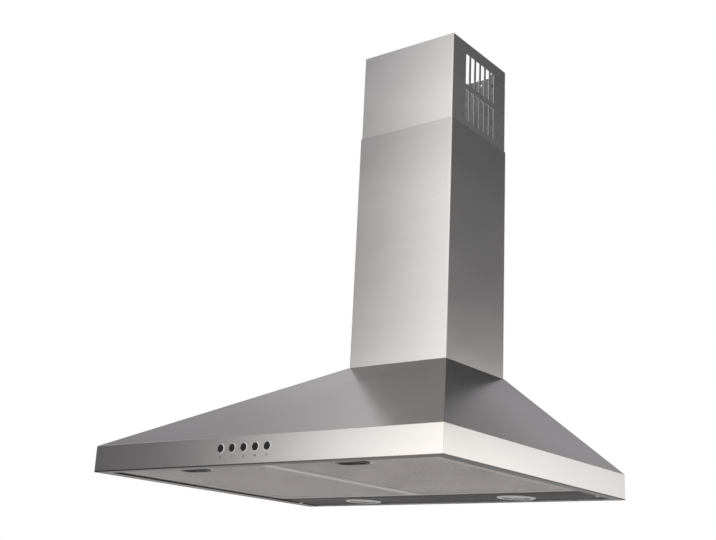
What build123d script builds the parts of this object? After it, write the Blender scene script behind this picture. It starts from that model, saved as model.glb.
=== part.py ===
from build123d import *
import math
import os

os.makedirs("parts", exist_ok=True)

# Chimney range hood, millimetres. The wall is the plane Y = 0 and the room lies towards -Y.
# X = 0 is the middle, Z = 0 is the lower edge of the canopy's lip. A "depth" is a distance from the wall.

# Canopy and chimney
hood_width = 600
hood_depth = 500
lip_height = 38
canopy_height = 200
sheet = 1.0
return_width = 14
chimney_width = 185
chimney_depth = 175
lower_chimney_length = 400
upper_chimney_length = 380
upper_chimney_exposed = 153
chimney_return = 20
chimney_fold = 2
collar_height = 14
slide_clearance = 0.3
seat_gap = 0.2

# Vents in the sides of the upper chimney
vent_columns = 6
vent_rows = 2
vent_width = 10.5
vent_height = 55
vent_pitch = 16.2
vent_row_pitch = 66
vent_drop = 48

# Fixings on the wall
keyhole_spacing = 170
keyhole_height = 165
keyhole_head_radius = 6
keyhole_shank_radius = 3
keyhole_rise = 12
lower_hole_side = 80
lower_hole_height = 30
wall_screw_radius = 3
bracket_hole_spacing = 80
bracket_thickness = 1.5
bracket_drop = 12
bracket_height = 20
bracket_plate_height = 150
bracket_half_width = 68
bracket_reach = 45
bracket_stand_off = 10
bracket_screw_depth = 28

# Underside
pan_recess = 3
filter_side_margin = 24
filter_thickness = 9
filter_gap = 2
filter_clearance = 1
filter_border = 14
filter_corner = 6
filter_front_margin = 22
filter_strip_gap = 7
mesh_thickness = 5.4
mesh_lap = 7
mesh_clearance = 0.2
mesh_sheet = 0.8
pleat_pitch = 9
ledge_width = 12
tongue_width = 16
tongue_thickness = 1.6
tongue_reach = 6
tongue_spacing = 150
tongue_clearance = 0.3
latch_inset = 18
latch_offset = 8
latch_length = 44
latch_width = 25
latch_wall = 1.5
latch_depth = 6.4
latch_flange = 2
slider_width = 12
slider_thickness = 1.6
slider_nose = 1.5
slider_back_room = 2
slider_grip = 3
grip_recess = 0.4

# Lamp strip
strip_side_gap = 16
strip_depth = 93
strip_corner = 2
strip_wall_gap = 4
strip_lap = 8
strip_flange = 6
lamp_spacing = 290
lamp_depth = 50
lamp_hole_radius = 26
lamp_bezel_radius = 30
lamp_bezel_thickness = 1.2
lamp_bezel_wall = 1.0
lamp_lens_thickness = 2.5
lamp_lens_lap = 2
lamp_can_height = 27
lamp_can_wall = 1.4
lamp_can_bevel = 4
lamp_lens_bevel = 0.8
lamp_flange_radius = 31.5
lamp_clearance = 0.25

# Push buttons
button_count = 5
button_row_x = -10
button_pitch = 20.5
button_drop = 15
button_radius = 4.7
button_proud = 2.2
button_travel = 2.5
button_clearance = 0.3
button_ring_radius = 6.5
button_ring_thickness = 1.0
button_ring_wall = 0.8
button_ring_bevel = 0.4
button_edge = 0.7
button_sleeve_length = 4
stem_radius = 2
switch_height = 14
switch_depth = 24
stem_length = 14
switch_end = 10
switch_corner = 1
switch_plate_margin = 4
blade_terminal_length = 6
blade_terminal_width = 4.8
blade_terminal_thickness = 0.8

# Blower
impeller_radius = 68
impeller_width = 72
blade_count = 36
blade_length = 10.5
blade_thickness = 1.2
blade_lean = 5
impeller_plate = 1.6
impeller_ring = 8
impeller_gap = 5
cone_radius = 47
cone_depth = 32
hub_radius = 12
hub_length = 16
hub_shoulder = 3
blade_inset = 0.6
shaft_radius = 4
nut_radius = 7
nut_height = 4
shaft_clearance = 0.03
motor_radius = 40
motor_length = 54
motor_wall_gap = 12
motor_hole_gap = 7
motor_pad_circle = 53
motor_pad_radius = 5
motor_bush_thickness = 2
motor_arms = 3
motor_rear_radius = 29
motor_cap_bevel = 5
motor_cap_length = 11
motor_step = 2
motor_cone_length = 14
motor_cone_step = 6
motor_cone_radius = 34
motor_neck_radius = 16
motor_neck_length = 4
motor_nose_radius = 13
motor_ring_clearance = 1
motor_slot_count = 8
motor_slot_circle = 22
motor_slot_length = 12
motor_slot_width = 3
motor_slot_depth = 4
shaft_end = 2
shaft_bevel = 0.6
scroll_growth = 8
scroll_clearance = 5
scroll_wall = 2
scroll_depth = 90
scroll_wall_gap = 45
blower_height = 112
tongue_angle = 70
neck_top = 205
neck_flange = 6
lug_radius = 4.5
lug_length = 8
lug_sink = 0.6
post_radius = 7
post_circle = 66
bush_thickness = 3
inlet_radius = 55.5
inlet_curve = 10.5
inlet_thickness = 1.5
inlet_flange = 6
grille_bar = 2
grille_depth = 3
grille_rings = 4
grille_spokes = 6
grille_overlap = 1

# Outlet
duct_radius = 74
duct_wall = 2
spigot_step = 1
transition_height = 58
socket_depth = 8
collar_length = 42
flap_height = 14
flap_knuckle = 16
flap_knuckle_pitch = 20
flap_stop = 2.5
flap_thickness = 1.2
flap_clearance = 1.5
flap_pin_radius = 1.5
flap_knuckle_wall = 1.4
flap_bridge = 1
pin_clearance = 0.06

# Electrical pieces on the back plate
capacitor_radius = 15
capacitor_length = 62
capacitor_neck = 2
tab_length = 8
tab_width = 6.3
tab_thickness = 0.8
tab_spacing = 10
clip_width = 14
clip_thickness = 1
clip_ear = 10
terminal_width = 62
terminal_height = 42
terminal_depth = 28
case_wall = 2
case_corner = 3
lid_bevel = 0.7
mains_slot_width = 6
lead_slot_width = 20
lead_slot_depth = 6
block_width = 31
block_height = 17
block_depth = 14
block_pitch = 10
block_hole_depth = 3
transformer_width = 84
transformer_height = 30
transformer_depth = 26
transformer_edge = 1.5
ear_length = 10
ear_width = 12
ear_thickness = 2
transformer_side = 95
transformer_z = 58
capacitor_x = 78
capacitor_z = 60
terminal_gap = 20
terminal_z = 76
gland_gap = 21
gland_height = 72
gland_radius = 4.6
gland_body_radius = 10
gland_waist = 2
gland_flange = 1.5
gland_shoulder = 2
gland_nose_wall = 1.6
gland_nose = 9
gland_recess = 6
gland_recess_radius = 17

# Leads inside the canopy
lead_radius = 2
lead_bend = 4
lead_pitch = 6
lead_wall_gap = 3
lead_drop = 5
lead_row_pitch = 8
lead_motor_row = 49
lead_motor_angle = -67.5
lead_lamp_offset = 15
lead_lamp_pitch = 12
lead_switch_offset = 40

# Screws
screw_radius = 1.9
screw_head_radius = 3.6
screw_head_height = 1.4
screw_length = 8


def slope_half_width(height):
    """Half the canopy's outer width at a height on its sloping sides."""
    fall = (canopy_height - height) / (canopy_height - lip_height)
    return chimney_width / 2 + (hood_width - chimney_width) / 2 * fall


# ---- Canopy shell: one folded and welded sheet, open below, above and at the wall ----

chimney_inner_half = chimney_width / 2 - sheet
collar_half = chimney_inner_half - slide_clearance
collar_depth = chimney_depth - sheet - slide_clearance
plate_inset = sheet + seat_gap
inner_fold = chimney_fold - slide_clearance
collar_rear = chimney_fold + seat_gap

with BuildPart() as canopy_shell:
    # the front view run back to the wall, cut to the side view: four flat slopes that meet in hips
    with BuildSketch(Plane.XZ):
        with BuildLine():
            Polyline(
                (-hood_width / 2, 0),
                (hood_width / 2, 0),
                (hood_width / 2, lip_height),
                (chimney_width / 2, canopy_height),
                (-chimney_width / 2, canopy_height),
                (-hood_width / 2, lip_height),
                close=True,
            )
        make_face()
    extrude(amount=hood_depth)
    with BuildSketch(Plane.YZ.offset(-hood_width / 2)):
        with BuildLine():
            Polyline(
                (0, 0),
                (-hood_depth, 0),
                (-hood_depth, lip_height),
                (-chimney_depth, canopy_height),
                (0, canopy_height),
                close=True,
            )
        make_face()
    extrude(amount=hood_width, mode=Mode.INTERSECT)
    bottom = canopy_shell.faces().sort_by(Axis.Z)[0]
    top = canopy_shell.faces().sort_by(Axis.Z)[-1]
    backs = canopy_shell.faces().filter_by(Axis.Y).group_by(Axis.Y)[-1]
    offset(amount=-sheet, openings=[bottom, top, *backs])
    # the lip turns in below
    with BuildSketch(Plane.XY):
        with Locations((0, -(hood_depth + plate_inset) / 2)):
            Rectangle(hood_width, hood_depth - plate_inset)
        with Locations((0, -(hood_depth - return_width) / 2)):
            Rectangle(hood_width - 2 * return_width, hood_depth - return_width, mode=Mode.SUBTRACT)
    extrude(amount=sheet)
    # the ledge that carries the lower chimney, and the collar that stands inside it
    with BuildSketch(Plane.XY.offset(canopy_height - sheet)):
        with Locations((0, -(chimney_depth + plate_inset) / 2)):
            Rectangle(chimney_width, chimney_depth - plate_inset)
        with Locations((0, -(collar_depth - sheet) / 2)):
            Rectangle(2 * (collar_half - sheet), collar_depth - sheet, mode=Mode.SUBTRACT)
    extrude(amount=sheet)
    with BuildSketch(Plane.XY.offset(canopy_height)) as collar:
        with Locations((0, -(collar_depth + collar_rear) / 2)):
            Rectangle(2 * collar_half, collar_depth - collar_rear)
        fillet(collar.vertices().group_by(Axis.Y)[0], inner_fold)
        with Locations((0, -(collar_depth - sheet) / 2)):
            Rectangle(2 * (collar_half - sheet), collar_depth - sheet, mode=Mode.SUBTRACT)
    extrude(amount=collar_height)
    # holes for the button rings
    button_height = lip_height - button_drop
    ring_sleeve_radius = button_radius + button_clearance + button_ring_wall
    ring_hole_radius = ring_sleeve_radius + seat_gap / 2
    with BuildSketch(Plane.XZ.offset(hood_depth)):
        with Locations((button_row_x, button_height)):
            with GridLocations(button_pitch, 1, button_count, 1):
                Circle(ring_hole_radius)
    extrude(amount=-sheet, mode=Mode.SUBTRACT)
canopy_shell.part.label = "canopy_shell"
export_step(canopy_shell.part, "parts/canopy_shell.step")

# ---- Back plate: closes the canopy at the wall, with keyholes, lower holes and the cable's hollow ----

post_offset = post_circle * math.cos(math.radians(45))
scroll_base = impeller_radius + scroll_clearance + scroll_growth / 2
scroll_right = scroll_base + 2 * scroll_growth + scroll_growth / 2
tongue_x = scroll_base * math.cos(math.radians(tongue_angle)) - scroll_growth / 2
blower_x = -(scroll_right + tongue_x) / 2
lower_hole_spacing = hood_width - 2 * lower_hole_side
terminal_x = capacitor_x + capacitor_radius + terminal_gap + terminal_width / 2
gland_x = terminal_x + terminal_width / 2 + gland_gap

with BuildPart() as back_plate:
    with BuildSketch(Plane.XZ):
        with BuildLine():
            low = -plate_inset
            high = canopy_height + plate_inset
            Polyline(
                (-hood_width / 2, low),
                (hood_width / 2, low),
                (hood_width / 2, lip_height),
                (slope_half_width(high), high),
                (-slope_half_width(high), high),
                (-hood_width / 2, lip_height),
                close=True,
            )
        make_face()
        offset(amount=-plate_inset, kind=Kind.INTERSECTION)
        # keyholes that hang the hood on two wall screws
        with Locations((0, keyhole_height)):
            with GridLocations(keyhole_spacing, 1, 2, 1):
                Circle(keyhole_head_radius, mode=Mode.SUBTRACT)
        with Locations((0, keyhole_height + keyhole_rise / 2)):
            with GridLocations(keyhole_spacing, 1, 2, 1):
                shank_width = 2 * keyhole_shank_radius
                SlotCenterToCenter(keyhole_rise, shank_width, rotation=90, mode=Mode.SUBTRACT)
        # lower holes that stop it lifting off
        with Locations((0, lower_hole_height)):
            with GridLocations(lower_hole_spacing, 1, 2, 1):
                Circle(wall_screw_radius, mode=Mode.SUBTRACT)
    extrude(amount=sheet)
    # a pressed hollow keeps the cable's bush clear of the wall
    with BuildSketch(Plane.XZ):
        with Locations((gland_x, gland_height)):
            Circle(gland_recess_radius)
    extrude(amount=gland_recess + sheet)
    with BuildSketch(Plane.XZ):
        with Locations((gland_x, gland_height)):
            Circle(gland_recess_radius - sheet)
    extrude(amount=gland_recess, mode=Mode.SUBTRACT)
    with BuildSketch(Plane.XZ):
        with Locations((gland_x, gland_height)):
            Circle(gland_body_radius - gland_waist)
    extrude(amount=gland_recess + sheet, mode=Mode.SUBTRACT)
    # screw holes behind the blower's posts
    with BuildSketch(Plane.XZ):
        with Locations((blower_x, blower_height)):
            with GridLocations(2 * post_offset, 2 * post_offset, 2, 2):
                Circle(screw_radius + seat_gap)
    extrude(amount=sheet, mode=Mode.SUBTRACT)
back_plate.part.label = "back_plate"
export_step(back_plate.part, "parts/back_plate.step")

# ---- Underside pan: a pressed tray on the lip's return that holds the filters and the lamp strip ----

pan_half = hood_width / 2 - sheet - slide_clearance
pan_front = hood_depth - sheet - slide_clearance
pan_rear = sheet + slide_clearance
strip_width = hood_width - 2 * strip_side_gap
strip_near = strip_wall_gap
strip_far = strip_wall_gap + strip_depth
filter_width = hood_width / 2 - filter_side_margin - filter_gap / 2
filter_front = hood_depth - filter_front_margin
filter_rear = strip_far + filter_strip_gap
filter_length = filter_front - filter_rear
opening_half = filter_gap / 2 + filter_width + filter_clearance
opening_front = filter_front + filter_clearance
opening_rear = filter_rear - filter_clearance
filter_top = pan_recess + filter_thickness
ledge_height = filter_top + slide_clearance
filter_middle = pan_recess + filter_thickness / 2
filter_x = (filter_gap + filter_width) / 2

with BuildPart() as underside_pan:
    with BuildSketch(Plane.XY.offset(pan_recess)):
        with Locations((0, -(pan_front + pan_rear) / 2)):
            Rectangle(2 * pan_half, pan_front - pan_rear)
    extrude(amount=sheet)
    # the turned-down rim stands on the lip's return
    with BuildSketch(Plane.XY.offset(sheet)):
        with Locations((0, -(pan_front + pan_rear) / 2)):
            Rectangle(2 * pan_half, pan_front - pan_rear)
        with Locations((0, -(pan_front - sheet) / 2)):
            Rectangle(2 * (pan_half - sheet), pan_front - sheet, mode=Mode.SUBTRACT)
    extrude(amount=pan_recess - sheet)
    # walls round the filter opening
    with BuildSketch(Plane.XY.offset(pan_recess)):
        with Locations((0, -(opening_front + opening_rear) / 2)):
            Rectangle(2 * (opening_half + sheet), opening_front - opening_rear + 2 * sheet)
    extrude(amount=ledge_height + sheet - pan_recess)
    with BuildSketch(Plane.XY.offset(pan_recess)):
        with Locations((0, -(opening_front + opening_rear) / 2)):
            Rectangle(2 * opening_half, opening_front - opening_rear)
    extrude(amount=ledge_height - pan_recess, mode=Mode.SUBTRACT)
    # two windows leave a ledge at the front, the sides and the middle
    window_front = opening_front - ledge_width
    window_half = (opening_half - ledge_width - ledge_width / 2) / 2
    with BuildSketch(Plane.XY.offset(ledge_height)):
        with Locations((0, -(window_front + opening_rear) / 2)):
            with GridLocations(2 * window_half + ledge_width, 1, 2, 1):
                Rectangle(2 * window_half, window_front - opening_rear)
    extrude(amount=sheet, mode=Mode.SUBTRACT)
    # notches in the rear wall for the filters' tongues
    notch_width = tongue_width + 2 * tongue_clearance
    notch_bottom = filter_middle - tongue_thickness / 2 - tongue_clearance
    with BuildSketch(Plane.XY.offset(notch_bottom)):
        with Locations((0, -(opening_rear - sheet / 2))):
            for side in (-1, 1):
                with Locations((side * filter_x, 0)):
                    with GridLocations(tongue_spacing, 1, 2, 1):
                        Rectangle(notch_width, 2 * sheet)
    extrude(amount=ledge_height + sheet - notch_bottom, mode=Mode.SUBTRACT)
    # slots in the front wall for the latch sliders
    slot_height = slider_thickness + 2 * tongue_clearance
    with BuildSketch(Plane.XZ.offset(opening_front - sheet)):
        with Locations((-latch_offset, filter_middle)):
            with GridLocations(2 * filter_x, 1, 2, 1):
                Rectangle(slider_width + 2 * tongue_clearance, slot_height)
    extrude(amount=3 * sheet, mode=Mode.SUBTRACT)
    # the opening above the lamp strip
    with BuildSketch(Plane.XY.offset(pan_recess)):
        with Locations((0, -(strip_near + strip_far) / 2)):
            Rectangle(strip_width - 2 * strip_lap, strip_depth - 2 * strip_lap)
    extrude(amount=sheet, mode=Mode.SUBTRACT)
    # holes for the strip's screws
    strip_screw_x = strip_width / 2 - strip_lap / 2
    strip_middle = (strip_near + strip_far) / 2
    with BuildSketch(Plane.XY.offset(pan_recess)):
        with Locations((0, -strip_middle)):
            with GridLocations(2 * strip_screw_x, 1, 2, 1):
                Circle(screw_radius + seat_gap)
    extrude(amount=sheet, mode=Mode.SUBTRACT)
underside_pan.part.label = "underside_pan"
export_step(underside_pan.part, "parts/underside_pan.step")

# ---- Lamp strip: a tray under the pan, between the filters and the wall ----

strip_top = pan_recess
strip_bottom = pan_recess - sheet
flange_outer_width = strip_width - 2 * strip_lap - 2 * slide_clearance
flange_outer_depth = strip_depth - 2 * strip_lap - 2 * slide_clearance

with BuildPart() as lamp_strip:
    with BuildSketch(Plane.XY.offset(strip_bottom)):
        with Locations((0, -strip_middle)):
            RectangleRounded(strip_width, strip_depth, strip_corner)
    extrude(amount=sheet)
    # upright flange that finds the pan's opening
    with BuildSketch(Plane.XY.offset(strip_top)):
        with Locations((0, -strip_middle)):
            Rectangle(flange_outer_width, flange_outer_depth)
            Rectangle(flange_outer_width - 2 * sheet, flange_outer_depth - 2 * sheet, mode=Mode.SUBTRACT)
    extrude(amount=strip_flange)
    with BuildSketch(Plane.XY.offset(strip_bottom)):
        with Locations((0, -lamp_depth)):
            with GridLocations(lamp_spacing, 1, 2, 1):
                Circle(lamp_hole_radius)
        with Locations((0, -strip_middle)):
            with GridLocations(2 * strip_screw_x, 1, 2, 1):
                Circle(screw_radius + seat_gap)
    extrude(amount=sheet, mode=Mode.SUBTRACT)
lamp_strip.part.label = "lamp_strip"
export_step(lamp_strip.part, "parts/lamp_strip.step")

with BuildPart() as lamp_strip_screws:
    for side in (-1, 1):
        with BuildSketch(Plane.XY.offset(strip_bottom - screw_head_height)):
            with Locations((side * strip_screw_x, -strip_middle)):
                Circle(screw_head_radius)
        extrude(amount=screw_head_height)
        with BuildSketch(Plane.XY.offset(strip_bottom)):
            with Locations((side * strip_screw_x, -strip_middle)):
                Circle(screw_radius)
        extrude(amount=screw_length)
lamp_strip_screws.part.label = "lamp_strip_screws"
export_step(lamp_strip_screws.part, "parts/lamp_strip_screws.step")

# ---- Lamps: a ring pushed up through the strip, a lens on its lip, and a can above ----

lamp_sleeve_outer = lamp_hole_radius - lamp_clearance
lamp_sleeve_inner = lamp_sleeve_outer - lamp_bezel_wall
lamp_lens_radius = lamp_sleeve_inner - lamp_clearance
lamp_lip_radius = lamp_lens_radius - lamp_lens_lap
lamp_sleeve_top = strip_top + strip_flange
lamp_can_inner = lamp_hole_radius
lamp_can_outer = lamp_can_inner + lamp_can_wall

for side, sign in (("left", -1), ("right", 1)):
    lamp_x = sign * lamp_spacing / 2
    lamp_plane = Plane(origin=(lamp_x, -lamp_depth, 0), x_dir=(1, 0, 0), z_dir=(0, -1, 0))
    lamp_axis = Axis((lamp_x, -lamp_depth, 0), (0, 0, 1))

    with BuildPart() as lamp_bezel:
        with BuildSketch(lamp_plane):
            with BuildLine():
                Polyline(
                    (lamp_lip_radius, strip_bottom - lamp_bezel_thickness),
                    (lamp_bezel_radius - lamp_bezel_thickness, strip_bottom - lamp_bezel_thickness),
                    (lamp_bezel_radius, strip_bottom),
                    (lamp_sleeve_outer, strip_bottom),
                    (lamp_sleeve_outer, lamp_sleeve_top),
                    (lamp_sleeve_inner, lamp_sleeve_top),
                    (lamp_sleeve_inner, strip_bottom),
                    (lamp_lip_radius, strip_bottom),
                    close=True,
                )
            make_face()
        revolve(axis=lamp_axis)
    lamp_bezel.part.label = f"lamp_{side}_bezel"
    export_step(lamp_bezel.part, f"parts/lamp_{side}_bezel.step")

    with BuildPart() as lamp_lens:
        with BuildSketch(Plane.XY.offset(strip_bottom)):
            with Locations((lamp_x, -lamp_depth)):
                Circle(lamp_lens_radius)
        extrude(amount=lamp_lens_thickness)
        chamfer(lamp_lens.edges().sort_by(Axis.Z)[-1], lamp_lens_bevel)
    lamp_lens.part.label = f"lamp_{side}_lens"
    export_step(lamp_lens.part, f"parts/lamp_{side}_lens.step")

    with BuildPart() as lamp_can:
        with BuildSketch(lamp_plane):
            with BuildLine():
                can_top = strip_top + lamp_can_height
                Polyline(
                    (0, can_top),
                    (lamp_can_outer - lamp_can_bevel, can_top),
                    (lamp_can_outer, can_top - lamp_can_bevel),
                    (lamp_can_outer, strip_top + lamp_can_wall),
                    (lamp_flange_radius, strip_top + lamp_can_wall),
                    (lamp_flange_radius, strip_top),
                    (lamp_can_inner, strip_top),
                    (lamp_can_inner, can_top - lamp_can_bevel - lamp_can_wall / 2),
                    (lamp_can_inner - lamp_can_bevel + lamp_can_wall / 2, can_top - lamp_can_wall),
                    (0, can_top - lamp_can_wall),
                    close=True,
                )
            make_face()
        revolve(axis=lamp_axis)
    lamp_can.part.label = f"lamp_{side}_can"
    export_step(lamp_can.part, f"parts/lamp_{side}_can.step")

# ---- Grease filters: a folded channel frame round layers of mesh, with rear tongues and a front latch ----

latch_depth_centre = filter_front - latch_inset - latch_width / 2
slider_front = filter_front - slide_clearance
mesh_width = filter_width - 2 * filter_border + 2 * mesh_lap
mesh_length = filter_length - 2 * filter_border + 2 * mesh_lap
mesh_bottom = filter_middle - mesh_thickness / 2
pleat_count = 2 * round(mesh_width / pleat_pitch)
pleat_low = mesh_bottom + mesh_sheet / 2
pleat_high = mesh_bottom + mesh_thickness - mesh_sheet - mesh_sheet / 2
slider_rear = latch_depth_centre - latch_width / 2 + latch_wall + slider_back_room

for side, sign in (("left", -1), ("right", 1)):
    centre_x = sign * filter_x
    latch_centre_x = centre_x - latch_offset
    filter_centre = (centre_x, -(filter_front + filter_rear) / 2)

    with BuildPart() as filter_frame:
        with BuildSketch(Plane.XY.offset(pan_recess)) as outline:
            with Locations(filter_centre):
                Rectangle(filter_width, filter_length)
            fillet(outline.vertices().group_by(Axis.Y)[0], filter_corner)
        extrude(amount=filter_thickness)
        # the rear edge is rolled round, so that the filter can swing down about it
        rear_edges = filter_frame.edges().filter_by(Axis.X).group_by(Axis.Y)[-1]
        fillet(rear_edges, 0.49 * filter_thickness)
        with BuildSketch(Plane.XY.offset(pan_recess)):
            with Locations(filter_centre):
                Rectangle(filter_width - 2 * filter_border, filter_length - 2 * filter_border)
        extrude(amount=filter_thickness, mode=Mode.SUBTRACT)
        # the channel that the mesh is folded into
        groove = mesh_thickness + 2 * mesh_clearance
        with BuildSketch(Plane.XY.offset(filter_middle - groove / 2)):
            with Locations(filter_centre):
                Rectangle(mesh_width + 2 * mesh_clearance, mesh_length + 2 * mesh_clearance)
        extrude(amount=groove, mode=Mode.SUBTRACT)
        # tongues that hook into the pan's rear wall
        with BuildSketch(Plane.XY.offset(filter_middle - tongue_thickness / 2)):
            with Locations((centre_x, -(filter_rear + sheet - tongue_reach / 2))):
                with GridLocations(tongue_spacing, 1, 2, 1):
                    Rectangle(tongue_width, tongue_reach + 2 * sheet)
        extrude(amount=tongue_thickness)
        # slot for the latch slider in the front member
        with BuildSketch(Plane.XZ.offset(filter_front - filter_border)):
            with Locations((latch_centre_x, filter_middle)):
                Rectangle(slider_width + 2 * tongue_clearance, slot_height)
        extrude(amount=filter_border, mode=Mode.SUBTRACT)
    filter_frame.part.label = f"filter_{side}_frame"
    export_step(filter_frame.part, f"parts/filter_{side}_frame.step")

    with BuildPart() as filter_mesh:
        # two outer sheets
        for sheet_bottom in (mesh_bottom, mesh_bottom + mesh_thickness - mesh_sheet):
            with BuildSketch(Plane.XY.offset(sheet_bottom)):
                with Locations(filter_centre):
                    Rectangle(mesh_width, mesh_length)
            extrude(amount=mesh_sheet)
        # a pleated layer between them
        with BuildSketch(Plane.XZ.offset(filter_front - filter_border + mesh_lap - mesh_length)):
            with BuildLine():
                crests = []
                for fold in range(pleat_count + 1):
                    fold_x = centre_x - mesh_width / 2 + fold * mesh_width / pleat_count
                    crests.append((fold_x, pleat_low if fold % 2 == 0 else pleat_high))
                backs = [(fold_x, fold_z + mesh_sheet) for fold_x, fold_z in reversed(crests)]
                Polyline(*crests, *backs, close=True)
            make_face()
        extrude(amount=mesh_length)
        # room for the latch's cup
        with BuildSketch(Plane.XY.offset(mesh_bottom)):
            with Locations((latch_centre_x, -latch_depth_centre)):
                cup_room = 2 * mesh_clearance
                SlotOverall(latch_length + cup_room, latch_width + cup_room)
            with Locations((latch_centre_x, -(latch_depth_centre + filter_front) / 2)):
                Rectangle(slider_width + 2 * tongue_clearance + cup_room, filter_front - latch_depth_centre)
        extrude(amount=mesh_thickness, mode=Mode.SUBTRACT)
    filter_mesh.part.label = f"filter_{side}_mesh"
    export_step(filter_mesh.part, f"parts/filter_{side}_mesh.step")

    with BuildPart() as latch_cup:
        cup_top = pan_recess + latch_depth + latch_wall
        with BuildSketch(Plane.XY.offset(pan_recess)):
            with Locations((latch_centre_x, -latch_depth_centre)):
                SlotOverall(latch_length, latch_width)
        extrude(amount=cup_top - pan_recess)
        # a flange laps under the mesh
        with BuildSketch(Plane.XY.offset(pan_recess)):
            with Locations((latch_centre_x, -latch_depth_centre)):
                SlotOverall(latch_length + 2 * latch_flange, latch_width + 2 * latch_flange)
        extrude(amount=mesh_bottom - pan_recess)
        with BuildSketch(Plane.XY.offset(pan_recess)):
            with Locations((latch_centre_x, -latch_depth_centre)):
                SlotOverall(latch_length - 2 * latch_wall, latch_width - 2 * latch_wall)
        extrude(amount=latch_depth, mode=Mode.SUBTRACT)
        # the slider's way out towards the front
        with BuildSketch(Plane.XZ.offset(latch_depth_centre)):
            with Locations((latch_centre_x, filter_middle)):
                Rectangle(slider_width + 2 * tongue_clearance, slot_height)
        extrude(amount=latch_width, mode=Mode.SUBTRACT)
    latch_cup.part.label = f"filter_{side}_latch_cup"
    export_step(latch_cup.part, f"parts/filter_{side}_latch_cup.step")

    with BuildPart() as latch_slider:
        with BuildSketch(Plane.XY.offset(filter_middle - slider_thickness / 2)):
            with Locations((latch_centre_x, -(slider_front + slider_rear) / 2)):
                Rectangle(slider_width, slider_front - slider_rear)
        extrude(amount=slider_thickness)
        fillet(latch_slider.edges().filter_by(Axis.Z).group_by(Axis.Y)[0], slider_nose)
        # finger grip that hangs into the cup
        with BuildSketch(Plane.XY.offset(pan_recess + grip_recess)):
            with Locations((latch_centre_x, -(slider_rear + slider_grip / 2))):
                Rectangle(slider_width, slider_grip)
        extrude(amount=filter_middle - pan_recess - grip_recess)
    latch_slider.part.label = f"filter_{side}_latch_slider"
    export_step(latch_slider.part, f"parts/filter_{side}_latch_slider.step")

# ---- Push buttons in the lip: bright rings, dark caps, the switch behind them and its bracket ----

button_bore = button_radius + button_clearance
ring_end = hood_depth - button_sleeve_length
collar_front = ring_end - button_clearance
collar_back = collar_front - button_ring_thickness
stem_end = collar_back - stem_length
switch_front = collar_back - button_travel - button_clearance
switch_back = switch_front - switch_depth
switch_half = (button_count - 1) / 2 * button_pitch + switch_end
stem_hole_radius = stem_radius + button_clearance

with BuildPart() as button_rings:
    for number in range(button_count):
        ring_x = button_row_x + (number - (button_count - 1) / 2) * button_pitch
        ring_plane = Plane(origin=(ring_x, 0, button_height), x_dir=(1, 0, 0), z_dir=(0, 0, -1))
        with BuildSketch(ring_plane):
            with BuildLine():
                ring_front = hood_depth + button_ring_thickness
                Polyline(
                    (button_bore, ring_front - button_ring_bevel),
                    (button_bore + button_ring_bevel, ring_front),
                    (button_ring_radius - button_ring_bevel, ring_front),
                    (button_ring_radius, ring_front - button_ring_bevel),
                    (button_ring_radius, hood_depth),
                    (ring_sleeve_radius, hood_depth),
                    (ring_sleeve_radius, ring_end),
                    (button_bore, ring_end),
                    close=True,
                )
            make_face()
        revolve(axis=Axis((ring_x, 0, button_height), (0, 1, 0)))
button_rings.part.label = "button_rings"
export_step(button_rings.part, "parts/button_rings.step")

for number in range(button_count):
    cap_x = button_row_x + (number - (button_count - 1) / 2) * button_pitch
    cap_plane = Plane(origin=(cap_x, 0, button_height), x_dir=(1, 0, 0), z_dir=(0, 0, -1))
    with BuildPart() as button:
        with BuildSketch(cap_plane):
            with BuildLine():
                cap_front = hood_depth + button_proud
                Polyline(
                    (0, cap_front),
                    (button_radius - 2 * button_edge, cap_front),
                    (button_radius - button_edge / 2, cap_front - button_edge / 2),
                    (button_radius, cap_front - 3 / 2 * button_edge),
                    (button_radius, collar_front),
                    (ring_sleeve_radius - seat_gap, collar_front),
                    (ring_sleeve_radius - seat_gap, collar_back),
                    (stem_radius, collar_back),
                    (stem_radius, stem_end),
                    (0, stem_end),
                    close=True,
                )
            make_face()
        revolve(axis=Axis((cap_x, 0, button_height), (0, 1, 0)))
    button.part.label = f"button_{number + 1}"
    export_step(button.part, f"parts/button_{number + 1}.step")

with BuildPart() as switch_body:
    with BuildSketch(Plane.XZ.offset(switch_back)):
        with Locations((button_row_x, button_height)):
            Rectangle(2 * switch_half, switch_height)
    extrude(amount=switch_depth)
    fillet(switch_body.edges().filter_by(Axis.Y), switch_corner)
    with BuildSketch(Plane.XZ.offset(switch_front)):
        with Locations((button_row_x, button_height)):
            with GridLocations(button_pitch, 1, button_count, 1):
                Circle(stem_hole_radius)
    extrude(amount=-(switch_front - stem_end + button_travel + stem_radius / 2), mode=Mode.SUBTRACT)
    # flat terminals on its back
    with BuildSketch(Plane.XZ.offset(switch_back - blade_terminal_length)):
        with Locations((button_row_x, button_height)):
            with GridLocations(button_pitch, 1, button_count, 1):
                Rectangle(blade_terminal_width, blade_terminal_thickness)
    extrude(amount=blade_terminal_length)
switch_body.part.label = "switch_body"
export_step(switch_body.part, "parts/switch_body.step")

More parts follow.
